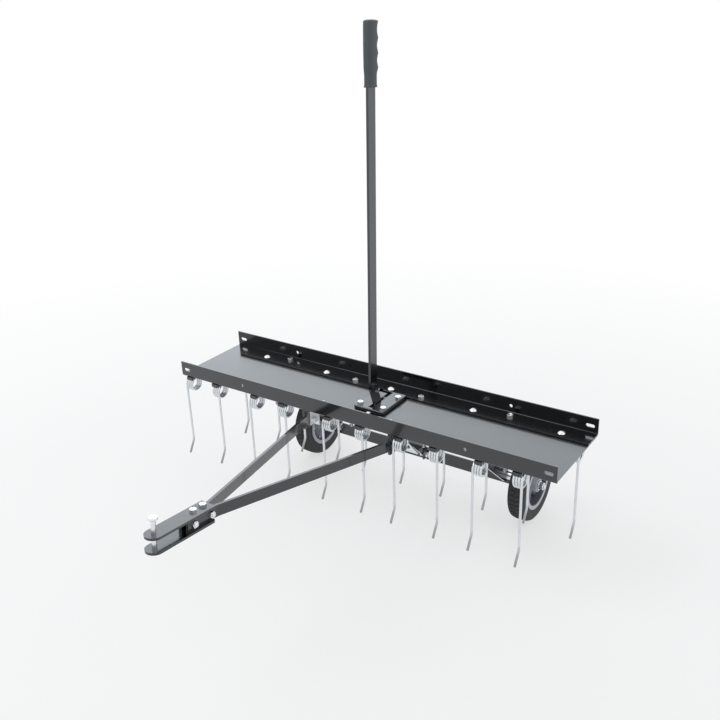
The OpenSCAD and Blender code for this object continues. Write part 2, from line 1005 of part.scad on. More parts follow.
module tyre(left) {
    half = wheel_w / 2;
    flat = half - tyre_shoulder;
    color(tyre_black)
        wheel_frame(left)
            rotate_extrude($fn = 96)
                difference() {
                    union() {
                        translate([rim_r, -flat])
                            square([wheel_r - rim_r, 2 * flat]);
                        translate([rim_r, -half])
                            square([wheel_r - rim_r - tyre_shoulder, wheel_w]);
                        for (end = [-1, 1])
                            translate([wheel_r - tyre_shoulder, end * flat])
                                circle(r = tyre_shoulder);
                    }
                    for (y = [-1, 1])
                        translate([wheel_r - tread_groove_d, y * flat / 2 - tread_groove_w / 2])
                            square([2 * tread_groove_d, tread_groove_w]);
                }
}

module rim(left) {
    half = wheel_w / 2 - rim_in;
    color(rim_grey)
        wheel_frame(left) {
            rotate_extrude($fn = 96) {
                translate([rim_r - rim_wall, -half])
                    square([rim_wall, 2 * half]);
                for (end = [-1, 1])
                    translate([rim_r - rim_wall - rim_lip, end * (half - rim_lip / 2) - rim_lip / 2])
                        square([rim_wall + rim_lip, rim_lip]);
            }
            difference() {
                union() {
                    cylinder(r = hub_r, h = wheel_w, center = true);
                    for (i = [0 : spokes - 1])
                        rotate([0, 0, i * 360 / spokes])
                            translate([hub_r / 2, -spoke_w / 2, -half + spoke_in])
                                cube([rim_r - rim_wall / 2 - hub_r / 2, spoke_w, 2 * (half - spoke_in)]);
                }
                cylinder(r = bush_r, h = wheel_w + 2 * over, center = true);
            }
        }
}

module bush(left) {
    color(black)
        wheel_frame(left)
            difference() {
                cylinder(r = bush_r, h = wheel_w, center = true);
                cylinder(r = axle_r + run_play, h = wheel_w + 2 * over, center = true);
            }
}

module at_axles() {
    at_tray()
        both_sides()
            translate([0, axle[0], axle[1]])
                children();
}

axle_end = wheel_out + side_play + washer_t + axle_nut_h + bolt_end;

module axle_bolts() {
    color(zinc)
        at_axles()
            translate([arm_x, 0, 0])
                rotate([0, -90, 0])
                    rotate([0, 0, 30])
                        hex_bolt(axle_d, axle_af, axle_head_h, axle_end - arm_x);
}

module axle_sleeves() {
    color(zinc)
        at_axles()
            translate([arm_out_x, 0, 0])
                rotate([0, 90, 0])
                    difference() {
                        cylinder(r = sleeve_r, h = wheel_in - side_play - arm_out_x);
                        translate([0, 0, -over])
                            cylinder(r = axle_r + nut_play, h = wheel_in);
                    }
}

module axle_washers() {
    color(zinc)
        at_axles()
            translate([wheel_out + side_play, 0, 0])
                rotate([0, 90, 0])
                    difference() {
                        cylinder(r = washer_r, h = washer_t);
                        translate([0, 0, -over])
                            cylinder(r = axle_r + nut_play, h = washer_t + 2 * over);
                    }
}

module axle_nuts() {
    color(zinc)
        at_axles()
            translate([wheel_out + side_play + washer_t, 0, 0])
                rotate([0, -90, 0])
                    nut(axle_d, axle_af, axle_nut_h);
}

// Tongue

// A drawbar's middle line in plan, from the tray to its end in the channel
function bar_path(x0, x1, bend_in) =
    [[x0, bar_end_y - tongue_y], [x0, 0], [x1, bend_in - tongue_l], [x1, bar_front]];
left_bar_path = bar_path(-bar_x, left_bar_x, left_bend_in);
right_bar_path = bar_path(bar_x, right_bar_x, right_bend_in);

module draw_bar(left) {
    end_side = left ? -1 : 1;
    color(black)
        difference() {
            union() {
                at_tongue()
                    translate([0, 0, -bar_h])
                        linear_extrude(bar_h)
                            bar_outline(left ? left_bar_path : right_bar_path, bar_t);
                at_tray()
                    translate([end_side * bar_x - bar_t / 2, bar_end_front, bar_end_low])
                        cube([bar_t, bar_end_y - bar_end_front, bar_end_top - bar_end_low]);
            }
            at_tongue()
                for (y = side_bolt_y)
                    side_rod(channel_x0, channel_x1, hole_r, y, side_bolt_z);
            at_tray()
                side_rod(-bar_x - bar_t, bar_x + bar_t, hole_r, bracket_bolt_y, bracket_bolt_z);
        }
}

module bracket(left) {
    color(zinc)
        at_tray()
            side(left)
                difference() {
                    union() {
                        translate([bracket_x - bracket_t, bracket_front, bracket_low])
                            cube([bracket_t, bracket_back + bracket_t - bracket_front,
                                front_pad_top - bracket_low]);
                        translate([bracket_x - bracket_foot, bracket_front, front_pad_top - bracket_t])
                            cube([bracket_foot, bracket_back + bracket_t - bracket_front, bracket_t]);
                        translate([0, bracket_back + bracket_t, 0])
                            rotate([90, 0, 0])
                                linear_extrude(bracket_t)
                                    polygon([
                                        [bracket_x - bracket_t, wing_top],
                                        [bracket_x - bracket_t + wing_l, wing_tip],
                                        [bracket_x - bracket_t + wing_l, wing_low],
                                        [bracket_x - bracket_t, wing_low]
                                    ]);
                    }
                    side_rod(bracket_x - 2 * bracket_t, bracket_x + over, hole_r,
                        bracket_bolt_y, bracket_bolt_z);
                    translate([inner_bolt_x, -inner_bolt_y, front_pad_top])
                        hole(hole_r, 3 * bracket_t);
                    translate([bracket_x + wing_hole_x, bracket_back - over, wing_low + wing_hole_up])
                        rotate([-90, 0, 0])
                            cylinder(r = hole_r, h = bracket_t + 2 * over);
                }
}

module bracket_bolts() {
    color(zinc)
        at_tray()
            both_sides()
                translate([bracket_x - bracket_t, bracket_bolt_y, bracket_bolt_z])
                    rotate([0, -90, 0])
                        hex_bolt(bolt_d, hex_af, head_h, bracket_t + bar_t + nut_h + bolt_end);
}

module bracket_nuts() {
    color(zinc)
        at_tray()
            both_sides()
                translate([bracket_x + bar_t, bracket_bolt_y, bracket_bolt_z])
                    rotate([0, -90, 0])
                        nut(bolt_d, hex_af, nut_h);
}

module flange_shape() {
    translate([channel_x0, nose_y])
        square([channel_w, -tongue_l - nose_y]);
    translate([nose_x, nose_y])
        circle(r = nose_r);
}

module hitch_channel() {
    color(black)
        at_tongue()
            difference() {
                union() {
                    linear_extrude(channel_t)
                        flange_shape();
                    translate([0, 0, channel_low])
                        linear_extrude(channel_t)
                            flange_shape();
                    translate([channel_x0, web_front, channel_low])
                        cube([channel_t, -tongue_l - web_front, channel_h]);
                }
                translate([nose_x, nose_y, 0])
                    hole(pin_d / 2 + run_play, channel_h + over);
                for (y = top_bolt_y)
                    translate([between_bars, y, 0])
                        hole(hole_r, channel_h + over);
                for (y = side_bolt_y)
                    side_rod(channel_x0 - over, channel_in + over, hole_r, y, side_bolt_z);
            }
}

module hitch_top_bolts() {
    color(zinc)
        at_tongue()
            for (y = top_bolt_y)
                translate([between_bars, y, channel_t])
                    hex_bolt(bolt_d, hex_af, head_h, channel_h + nut_h + bolt_end);
}

module hitch_side_bolts() {
    length = channel_t + 2 * bar_t + bars_gap + nut_h + bolt_end;
    color(zinc)
        at_tongue()
            for (y = side_bolt_y)
                translate([channel_x0, y, side_bolt_z])
                    rotate([0, -90, 0])
                        hex_bolt(bolt_d, hex_af, head_h, length);
}

module hitch_nuts() {
    color(zinc)
        at_tongue() {
            for (y = top_bolt_y)
                translate([between_bars, y, channel_low])
                    nut(bolt_d, hex_af, nut_h);
            for (y = side_bolt_y)
                translate([right_bar_x + bar_t / 2, y, side_bolt_z])
                    rotate([0, -90, 0])
                        nut(bolt_d, hex_af, nut_h);
        }
}

module hitch_pin() {
    color(zinc)
        at_tongue()
            translate([nose_x, nose_y, channel_t + pin_up]) {
                cylinder(d = pin_head_d, h = pin_head_h);
                translate([0, 0, -pin_l])
                    cylinder(d = pin_d, h = pin_l + pin_head_h / 2);
            }
}

tray_deck();
front_angle();
rear_angle();
front_deck_bolts();
rear_deck_bolts();
deck_nuts();
tine(true, 0);  // front_tine_1
tine(true, 1);  // front_tine_2
tine(true, 2);  // front_tine_3
tine(true, 3);  // front_tine_4
tine(true, 4);  // front_tine_5
tine(false, 0);  // rear_tine_1
tine(false, 1);  // rear_tine_2
tine(false, 2);  // rear_tine_3
tine(false, 3);  // rear_tine_4
tine(false, 4);  // rear_tine_5
tine_pads(true);  // front_tine_pads
tine_pads(false);  // rear_tine_pads
tine_clamps(true);  // front_tine_clamps
tine_clamps(false);  // rear_tine_clamps
tine_bolts(true);  // front_tine_bolts
tine_bolts(false);  // rear_tine_bolts
tine_nuts(true);  // front_tine_nuts
tine_nuts(false);  // rear_tine_nuts
lever_base();
lever_base_bolts();
lever_base_nuts();
pivot_ear(true);  // pivot_ear_left
pivot_ear(false);  // pivot_ear_right
pivot_bolts();
pivot_nuts();
swing_arm(true);  // swing_arm_left
swing_arm(false);  // swing_arm_right
crossbar();
lift_lever();
lever_clip();
lever_bolts();
lever_grip();
axle_bolts();
axle_sleeves();
axle_washers();
axle_nuts();
tyre(true);  // tyre_left
tyre(false);  // tyre_right
rim(true);  // rim_left
rim(false);  // rim_right
bush(true);  // bush_left
bush(false);  // bush_right
draw_bar(true);  // draw_bar_left
draw_bar(false);  // draw_bar_right
bracket(true);  // bracket_left
bracket(false);  // bracket_right
bracket_bolts();
bracket_nuts();
hitch_channel();
hitch_top_bolts();
hitch_side_bolts();
hitch_nuts();
hitch_pin();
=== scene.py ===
import math

import bmesh
import bpy
from mathutils import Matrix, Vector


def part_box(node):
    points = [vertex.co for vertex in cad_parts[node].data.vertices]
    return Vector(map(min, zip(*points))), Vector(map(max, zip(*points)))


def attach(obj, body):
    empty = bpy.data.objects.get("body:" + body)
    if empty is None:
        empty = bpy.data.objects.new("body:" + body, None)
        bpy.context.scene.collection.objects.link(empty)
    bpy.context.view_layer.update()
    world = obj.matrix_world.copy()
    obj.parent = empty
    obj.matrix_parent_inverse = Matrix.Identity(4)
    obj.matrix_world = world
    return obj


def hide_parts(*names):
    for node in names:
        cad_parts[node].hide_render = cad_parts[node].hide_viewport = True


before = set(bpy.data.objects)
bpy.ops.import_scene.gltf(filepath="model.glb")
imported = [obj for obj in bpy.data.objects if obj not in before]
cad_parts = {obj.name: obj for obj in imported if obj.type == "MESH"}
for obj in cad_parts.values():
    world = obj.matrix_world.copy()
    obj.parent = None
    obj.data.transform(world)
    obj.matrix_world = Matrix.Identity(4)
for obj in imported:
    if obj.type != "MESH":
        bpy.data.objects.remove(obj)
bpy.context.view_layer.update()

mm = 0.001
touch = 0.01
turn = 2 * math.pi

# Placings: the tray's own frame in millimetres with z = 0 on the deck, and the sloping tongue's
deckLow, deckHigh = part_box("tray_deck")
deckMiddle = (0, (deckLow[1] + deckHigh[1]) / 2, deckHigh[2])
trayPlace = Matrix.Translation(deckMiddle) @ Matrix.Diagonal((mm, mm, mm, 1))
tongueRise = math.radians(5.7)
tonguePlace = trayPlace @ Matrix.Translation((0, -100, -24)) @ Matrix.Rotation(-tongueRise, 4, "X")

# The camera stands ahead of the rake, to its right, and over the tray. Its place is in the tray's frame.
camera = {
    "place": (1049.8, -1529.0, 927.2),
    "yaw": -0.618452,
    "pitch": -0.415927,
    "roll": -0.0404685,
    "focal": 881.44,
    "middle": (356.785, 359.639),
    "frame": 720,
}


def addCamera():
    yaw, pitch, roll = camera["yaw"], camera["pitch"], camera["roll"]
    ahead = Vector((math.sin(yaw) * math.cos(pitch), math.cos(yaw) * math.cos(pitch), math.sin(pitch)))
    right = ahead.cross(Vector((0, 0, 1))).normalized()
    up = right.cross(ahead)
    rolledRight = right * math.cos(roll) + up * math.sin(roll)
    rolledUp = up * math.cos(roll) - right * math.sin(roll)
    data = bpy.data.cameras.new("photoCamera")
    data.sensor_width = 36
    data.lens = camera["focal"] / camera["frame"] * data.sensor_width
    data.shift_x = (camera["frame"] / 2 - camera["middle"][0]) / camera["frame"]
    data.shift_y = (camera["middle"][1] - camera["frame"] / 2) / camera["frame"]
    data.clip_start = 0.05
    data.clip_end = 60
    made = bpy.data.objects.new("photoCamera", data)
    made.matrix_world = Matrix.Translation(trayPlace @ Vector(camera["place"])) @ Matrix(
        (rolledRight, rolledUp, -ahead)
    ).transposed().to_4x4()
    bpy.context.collection.objects.link(made)
    bpy.context.scene.camera = made


addCamera()
print("camera placed")

# Finishes

class Wire:
    # one output of a node, usable in sums
    def __init__(self, tree, socket=None):
        self.tree = tree
        self.socket = socket

    def node(self, kind, settings=None, values=None, out=0):
        made = self.tree.nodes.new(kind)
        for name, setting in (settings or {}).items():
            if name == "stops":
                for place, level in setting:
                    stop = made.color_ramp.elements.new(place)
                    stop.color = (level, level, level, 1)
                made.color_ramp.elements.remove(made.color_ramp.elements[0])
                made.color_ramp.elements.remove(made.color_ramp.elements[-1])
            else:
                setattr(made, name, setting)
        for name, value in (values or {}).items():
            if isinstance(value, Wire):
                self.tree.links.new(value.socket, made.inputs[name])
            else:
                made.inputs[name].default_value = value
        return Wire(self.tree, made.outputs[out])

    def sum(self, operation, first, second):
        return self.node("ShaderNodeMath", {"operation": operation}, {0: first, 1: second})

    def __add__(self, other):
        return self.sum("ADD", self, other)

    def __radd__(self, other):
        return self.sum("ADD", other, self)

    def __sub__(self, other):
        return self.sum("SUBTRACT", self, other)

    def __mul__(self, other):
        return self.sum("MULTIPLY", self, other)

    def __rmul__(self, other):
        return self.sum("MULTIPLY", other, self)

    def limited(self):
        return self.node("ShaderNodeClamp", None, {"Value": self})

    def noise(self, scale, detail=3, rough=0.55):
        place = self.node("ShaderNodeTexCoord", out="Object")
        return self.node("ShaderNodeTexNoise", None, {
            "Vector": place, "Scale": scale, "Detail": detail, "Roughness": rough
        })

    def along(self, axis):
        place = self.node("ShaderNodeTexCoord", out="Object")
        return self.node("ShaderNodeSeparateXYZ", None, {"Vector": place}, out=axis)

    def ramp(self, measure, look):
        share = measure * (1 / look["reach"])
        return self.node("ShaderNodeValToRGB", {"stops": look["stops"]}, {"Fac": share})

    def blend(self, amount, first, second):
        made = self.tree.nodes.new("ShaderNodeMix")
        made.data_type = "RGBA"
        for slot, value in ((0, amount), (6, first), (7, second)):
            if isinstance(value, Wire):
                self.tree.links.new(value.socket, made.inputs[slot])
            else:
                made.inputs[slot].default_value = value
        return Wire(self.tree, made.outputs[2])


def newFinish(name, fixed):
    made = bpy.data.materials.new(name)
    made.use_nodes = True
    shader = made.node_tree.nodes["Principled BSDF"]
    for key, value in fixed.items():
        shader.inputs[key].default_value = value
    return made, shader, Wire(made.node_tree)


def feed(shader, name, wire):
    wire.tree.links.new(wire.socket, shader.inputs[name])


def bumped(shader, wire, height, distance):
    feed(shader, "Normal", wire.node("ShaderNodeBump", None, {
        "Height": height, "Strength": 1.0, "Distance": distance
    }))


coatSkin = {
    "tint": (0.82, 0.92, 1.0, 1), "gloss": 0.07, "cloud": 9, "spread": 0.10,
    "peel": 900, "depth": 0.00004,
}
coatLook = {
    "blackCoat": ((0.0028, 0.0034, 0.0042, 1), 0.26, 0.50, 1.50),
    # a lit copy of the black coat, a little paler, that makes the deck and the lever base look lit from
    # above
    "litDeckCoat": ((0.0060, 0.0070, 0.0085, 1), 0.30, 0.45, 1.50),
    # a shaded copy of the black coat, duller in its shine, that makes the rear angle look darker
    "shadedRearCoat": ((0.0028, 0.0034, 0.0044, 1), 0.26, 0.22, 1.43),
}


def coatFinish(name):
    # gloss powder coat with a faint orange peel
    colour, rough, shine, index = coatLook[name]
    made, shader, wire = newFinish(name, {
        "Base Color": colour, "Specular IOR Level": shine, "Specular Tint": coatSkin["tint"],
        "Coat Weight": 1.0, "Coat Roughness": coatSkin["gloss"], "Coat IOR": index
    })
    feed(shader, "Roughness", rough + coatSkin["spread"] * (wire.noise(coatSkin["cloud"], 4) - 0.5))
    bumped(shader, wire, wire.noise(coatSkin["peel"], 2), coatSkin["depth"])
    return made


zincSkin = {"spread": 0.16, "grain": 1400, "depth": 0.00003}
zincLook = {
    "zinc": ((0.74, 0.76, 0.78, 1), (0.86, 0.87, 0.89, 1), 0.27, 160),
    "springZinc": ((0.64, 0.67, 0.70, 1), (0.79, 0.82, 0.84, 1), 0.30, 90),
    "bracketZinc": ((0.70, 0.73, 0.74, 1), (0.85, 0.88, 0.89, 1), 0.38, 55),
}
tipLook = {"stops": [(0.52, 0), (0.62, 0.15), (0.74, 1)], "reach": 0.2, "colour": (0.30, 0.33, 0.34, 1)}


def aboveTips(wire):
    # 0 at the tines' tips, which are coloured darker, 1 on the rods over them
    return wire.ramp(wire.along("Z"), tipLook)


def zincFinish(name):
    # bright zinc plate, faintly clouded
    dull, bright, rough, scale = zincLook[name]
    made, shader, wire = newFinish(name, {"Metallic": 1.0})
    cloud = wire.noise(scale, 4)
    colour = wire.blend(cloud, dull, bright)
    if name == "springZinc":
        colour = wire.blend(aboveTips(wire), tipLook["colour"], colour)
    feed(shader, "Base Color", colour)
    feed(shader, "Roughness", rough + zincSkin["spread"] * (cloud - 0.5))
    bumped(shader, wire, wire.noise(zincSkin["grain"], 2), zincSkin["depth"])
    return made


plainSkin = {"shine": 0.45, "cloud": 24, "spread": 0.12}
plainLook = {
    "gripVinyl": ((0.056, 0.066, 0.074, 1), (0.082, 0.095, 0.104, 1), 0.52, 700, 0.00008),
    "tyreRubber": ((0.038, 0.042, 0.043, 1), (0.060, 0.066, 0.067, 1), 0.74, 500, 0.00012),
    "rimGrey": ((0.52, 0.55, 0.61, 1), (0.60, 0.63, 0.69, 1), 0.42, 300, 0.00004),
    "bushNylon": ((0.055, 0.055, 0.060, 1), (0.070, 0.070, 0.075, 1), 0.50, 300, 0.00003),
}
# painted shade for the rim's dish: the shadowed barrel and the spokes are coloured darker
dishShadeLook = {
    "stops": [(0.30, 1), (0.40, 0.6), (0.68, 0.5), (0.78, 0.12), (0.83, 0.12), (0.85, 1)],
    "reach": 0.0625, "colour": (0.030, 0.033, 0.042, 1),
}


def outsideDishShade(wire):
    # painted shade: 1 on the rim's bead and hub, less on the spokes in the dish, least on the barrel,
    # where the dish lies in shadow
    low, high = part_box("rim_left")
    back = wire.along("Y") - (low[1] + high[1]) / 2
    up = wire.along("Z") - (low[2] + high[2]) / 2
    return wire.ramp(wire.sum("SQRT", back * back + up * up, 0), dishShadeLook)


def plainFinish(name):
    # moulded vinyl, rubber and plastic
    dark, light, rough, grain, depth = plainLook[name]
    made, shader, wire = newFinish(name, {"Specular IOR Level": plainSkin["shine"]})
    cloud = wire.noise(plainSkin["cloud"], 4)
    colour = wire.blend(cloud, dark, light)
    # the rim's dish gets its painted shade here
    if name == "rimGrey":
        colour = wire.blend(outsideDishShade(wire), dishShadeLook["colour"], colour)
    feed(shader, "Base Color", colour)
    feed(shader, "Roughness", rough + plainSkin["spread"] * (cloud - 0.5))
    bumped(shader, wire, wire.noise(grain, 3), depth)
    return made


finishes = {}
for name in coatLook:
    finishes[name] = coatFinish(name)
for name in zincLook:
    finishes[name] = zincFinish(name)
for name in plainLook:
    finishes[name] = plainFinish(name)
print("finishes made")


# Helpers that shape and settle the pieces

def settle(name, shape, place, finish, body, stands, sharpAngle=28):
    # the shape's own frame is place; its sharp corners stay sharp in the shading
    bmesh.ops.transform(shape, matrix=place, verts=shape.verts)
    limit = math.radians(sharpAngle)
    for face in shape.faces:
        face.smooth = True
    for edge in shape.edges:
        edge.smooth = len(edge.link_faces) == 2 and edge.calc_face_angle(math.pi) < limit
    mesh = bpy.data.meshes.new(name)
    shape.to_mesh(mesh)
    shape.free()
    mesh.materials.append(finishes[finish])
    piece = bpy.data.objects.new(name, mesh)
    bpy.context.collection.objects.link(piece)
    even = piece.modifiers.new("evenNormals", "WEIGHTED_NORMAL")
    even.keep_sharp = True
    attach(piece, body)
    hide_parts(*stands)
    return piece


def copyOf(node, place):
    # a welded copy of a solid, in the frame that place gives
    shape = bmesh.new()
    shape.from_mesh(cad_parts[node].data)
    bmesh.ops.transform(shape, matrix=place.inverted(), verts=shape.verts)
    bmesh.ops.remove_doubles(shape, verts=shape.verts, dist=0.002)
    bmesh.ops.dissolve_limit(shape, angle_limit=math.radians(0.6), verts=shape.verts, edges=shape.edges)
    return shape


def roundEdges(shape, edges, width, steps):
    bmesh.ops.bevel(
        shape, geom=list(edges), offset=width, offset_type="OFFSET", segments=steps,
        profile=0.5, affect="EDGES", clamp_overlap=True, material=-1
    )


def soften(shape, width, steps=2, angle=30):
    limit = math.radians(angle)
    sharp = [e for e in shape.edges if len(e.link_faces) == 2 and e.calc_face_angle(0) > limit]
    roundEdges(shape, sharp, width, steps)


def edgesWhere(shape, test):
    return [e for e in shape.edges if test(e.verts[0].co) and test(e.verts[1].co)]


def lathe(profile, steps, closed=False):
    # turns (radius, height) points round Z
    shape = bmesh.new()
    verts = [shape.verts.new((far, 0, up)) for far, up in profile]
    pairs = list(zip(verts, verts[1:]))
    if closed:
        pairs.append((verts[-1], verts[0]))
    edges = [shape.edges.new(pair) for pair in pairs]
    bmesh.ops.spin(
        shape, geom=verts + edges, cent=(0, 0, 0), axis=(0, 0, 1), angle=turn, steps=steps, use_merge=True
    )
    bmesh.ops.remove_doubles(shape, verts=shape.verts, dist=0.001)
    bmesh.ops.recalc_face_normals(shape, faces=shape.faces)
    return shape


def stamp(target, part, places):
    scratch = bpy.data.meshes.new("scratch")
    for place in places:
        made = part.copy()
        bmesh.ops.transform(made, matrix=place, verts=made.verts)
        made.to_mesh(scratch)
        target.from_mesh(scratch)
        made.free()
    bpy.data.meshes.remove(scratch)


def at(x, y, z, pointing=(0, 0, 1), twist=0):
    # places a part whose own Z axis then points along pointing
    aim = Vector(pointing).to_track_quat("Z", "Y").to_matrix().to_4x4()
    return Matrix.Translation((x, y, z)) @ aim @ Matrix.Rotation(math.radians(twist), 4, "Z")


def bothSides(x, y, z, way):
    # a place on each side of the machine, pointing outwards or, with way -1, inwards
    return [at(side * x, y, z, (side * way, 0, 0)) for side in (-1, 1)]


# Bolts and nuts, all with their seat at z = 0

fastener = {
    "flats": 13, "head": 5.3, "nut": 6.5, "shank": 8, "pitch": 1.25, "threadDepth": 0.6,
    "chamfer": math.tan(math.radians(28)), "flatEnd": 0.94, "steps": 36, "threadSteps": 20,
    "edge": 0.4, "slack": 0.05, "sunk": 0.3, "lead": 0.6, "taper": 0.7, "past": 3,
}


def hexagonReach(angle, flats):
    return flats / 2 / math.cos((angle + math.pi / 6) % (math.pi / 3) - math.pi / 6)


def hexBlock(flats, height, bore=0, chamferLow=False):
    flat = flats / 2
    end = flat * fastener["flatEnd"]
    low = [(bore, 0), (end, 0), (flat, fastener["edge"])] if chamferLow else [(bore, 0), (flat, 0)]
    profile = low + [(flat, height - fastener["edge"]), (end, height), (bore, height)]
    shape = lathe(profile, fastener["steps"], closed=bore > 0)
    for vert in shape.verts:
        far = math.hypot(vert.co.x, vert.co.y)
        if far > flat - touch:
            reach = hexagonReach(math.atan2(vert.co.y, vert.co.x), flats)
            drop = (reach - end) * fastener["chamfer"]
            vert.co.x *= reach / far
            vert.co.y *= reach / far
            if vert.co.z > height / 2:
                vert.co.z = height - drop
            elif chamferLow:
                vert.co.z = drop
    return shape


def addShank(shape, diameter, length, plain):
    # a plain shank down from the head, then rings for the thread
    outer = diameter / 2 - fastener["slack"]
    root = outer - fastener["threadDepth"]
    pitch = fastener["pitch"]
    lead = fastener["lead"]
    profile = [(0, fastener["sunk"]), (outer, fastener["sunk"]), (outer, -plain)]
    ring = 0
    while plain + (ring + 1) * pitch < length - lead:
        down = -plain - ring * pitch
        profile += [(root, down - pitch / 2), (outer, down - pitch)]
        ring += 1
    profile += [(outer, lead - length), (outer - fastener["taper"], -length), (0, -length)]
    stamp(shape, lathe(profile, fastener["threadSteps"]), [Matrix.Identity(4)])


def hexBolt(length, plain, diameter=None, flats=None, head=None):
    diameter = diameter or fastener["shank"]
    flats = flats or fastener["flats"]
    head = head or fastener["head"]
    shape = hexBlock(flats, head)
    addShank(shape, diameter, length, plain)
    return shape


def throughNut(plain):
    # a common bolt that clamps plain and reaches past its nut
    return hexBolt(plain + fastener["nut"] + fastener["past"], plain)


def hexNut(diameter=None, flats=None, height=None):
    diameter = diameter or fastener["shank"]
    flats = flats or fastener["flats"]
    height = height or fastener["nut"]
    shape = hexBlock(flats, height, bore=diameter / 2 + fastener["slack"], chamferLow=True)
    bmesh.ops.translate(shape, vec=(0, 0, -height), verts=shape.verts)
    return shape


def addSet(name, parts, finish, body, stands, place=trayPlace):
    # parts is a list of (shape, places)
    shape = bmesh.new()
    for part, places in parts:
        stamp(shape, part, places)
        part.free()
    return settle(name, shape, place, finish, body, stands)


# Tray

tray = {
    "halfDepth": 108, "deck": 2, "leg": 3, "outerX": 313, "outerY": 88,
    "innerX": 93.6, "innerY": 69, "edge": 0.35, "heel": 2.6, "root": 2.0,
    "wing": 3,
}


def addTray():
    deck = copyOf("tray_deck", trayPlace)
    soften(deck, tray["edge"])
    # the deck takes the lit copy of the black coat
    settle("trayDeck", deck, trayPlace, "litDeckCoat", "frame", ["tray_deck"])
    heelY = tray["halfDepth"] + tray["leg"]
    frontLow = -tray["deck"] - tray["leg"]
    for node, side, low in (("rear_angle", 1, 0), ("front_angle", -1, frontLow)):
        angle = copyOf(node, trayPlace)
        heel = edgesWhere(angle, lambda co: max(abs(co.y - side * heelY), abs(co.z - low)) < touch)
        roundEdges(angle, heel, tray["heel"], steps=5)
        rootY, rootZ = side * tray["halfDepth"], low + tray["leg"]
        root = edgesWhere(angle, lambda co: max(abs(co.y - rootY), abs(co.z - rootZ)) < touch)
        roundEdges(angle, root, tray["root"], steps=4)
        soften(angle, tray["edge"])
        # the rear angle takes the shaded copy of the black coat
        name, finish = ("rearAngle", "shadedRearCoat") if side > 0 else ("frontAngle", "blackCoat")
        settle(name, angle, trayPlace, finish, "frame", [node])
    corners = [
        (-tray["outerX"], tray["outerY"]), (-tray["innerX"], tray["innerY"]),
        (tray["innerX"], tray["innerY"]), (tray["outerX"], tray["outerY"])
    ]
    outer = [corners[0], corners[3]]
    inner = [corners[1], corners[2]]
    stack = tray["deck"] + tray["leg"]
    addSet("rearDeckBolts", [
        (throughNut(stack), [at(x, y, tray["leg"], twist=x) for x, y in corners])
    ], "zinc", "frame", ["rear_deck_bolts"])
    addSet("frontDeckBolts", [
        (throughNut(stack), [at(-x, -y, 0, twist=x) for x, y in outer]),
        (throughNut(stack + tray["wing"]), [at(-x, -y, 0, twist=x) for x, y in inner])
    ], "zinc", "frame", ["front_deck_bolts"])
    addSet("deckNuts", [
        (hexNut(), [at(x, y, -tray["deck"], twist=y) for x, y in corners]
         + [at(-x, -y, frontLow, twist=y) for x, y in outer]
         + [at(-x, -y, frontLow - tray["wing"], twist=y) for x, y in inner])
    ], "zinc", "frame", ["deck_nuts"])


addTray()
print("tray made")


# Spring tines: half of a double tine is swept from the middle out, then mirrored

spring = {
    "wire": 5.5, "sides": 12, "coil": 17.25, "forkHalf": 55, "innerHalf": 35.5, "ahead": 20,
    "back": 8.5, "corner": 6, "turned": 1170, "coilSteps": 104, "rodLow": -180, "bend": 12,
    "lean": 18, "drop": 212, "pad": 2.5, "clamp": 3, "tip": 0.5, "tipShare": 0.8,
    "padEdge": 0.4, "clampEdge": 0.5,
}
backTines = (-380, -185, 7, 228, 440)
tineRows = {
    "rear": {"places": backTines, "y": 75, "top": -2},
    "front": {"places": tuple(-x for x in reversed(backTines)), "y": -75, "top": -5},
}


def onward(shape, ring, step):
    # carries an open end of the wire straight on
    made = bmesh.ops.extrude_edge_only(shape, edges=ring)["geom"]
    verts = {part for part in made if isinstance(part, bmesh.types.BMVert)}
    bmesh.ops.translate(shape, vec=step, verts=list(verts))
    edges = [part for part in made if isinstance(part, bmesh.types.BMEdge)]
    return [edge for edge in edges if set(edge.verts) <= verts]


def aroundOn(shape, ring, centre, axis, degrees, steps, slide=(0, 0, 0)):
    # carries an open end of the wire round an axis, sliding along it
    verts = list({vert for edge in ring for vert in edge.verts})
    made = bmesh.ops.spin(
        shape, geom=verts + ring, cent=centre, axis=axis, dvec=Vector(slide) / steps,
        angle=math.radians(degrees), steps=steps, use_merge=False
    )["geom_last"]
    return [part for part in made if isinstance(part, bmesh.types.BMEdge)]


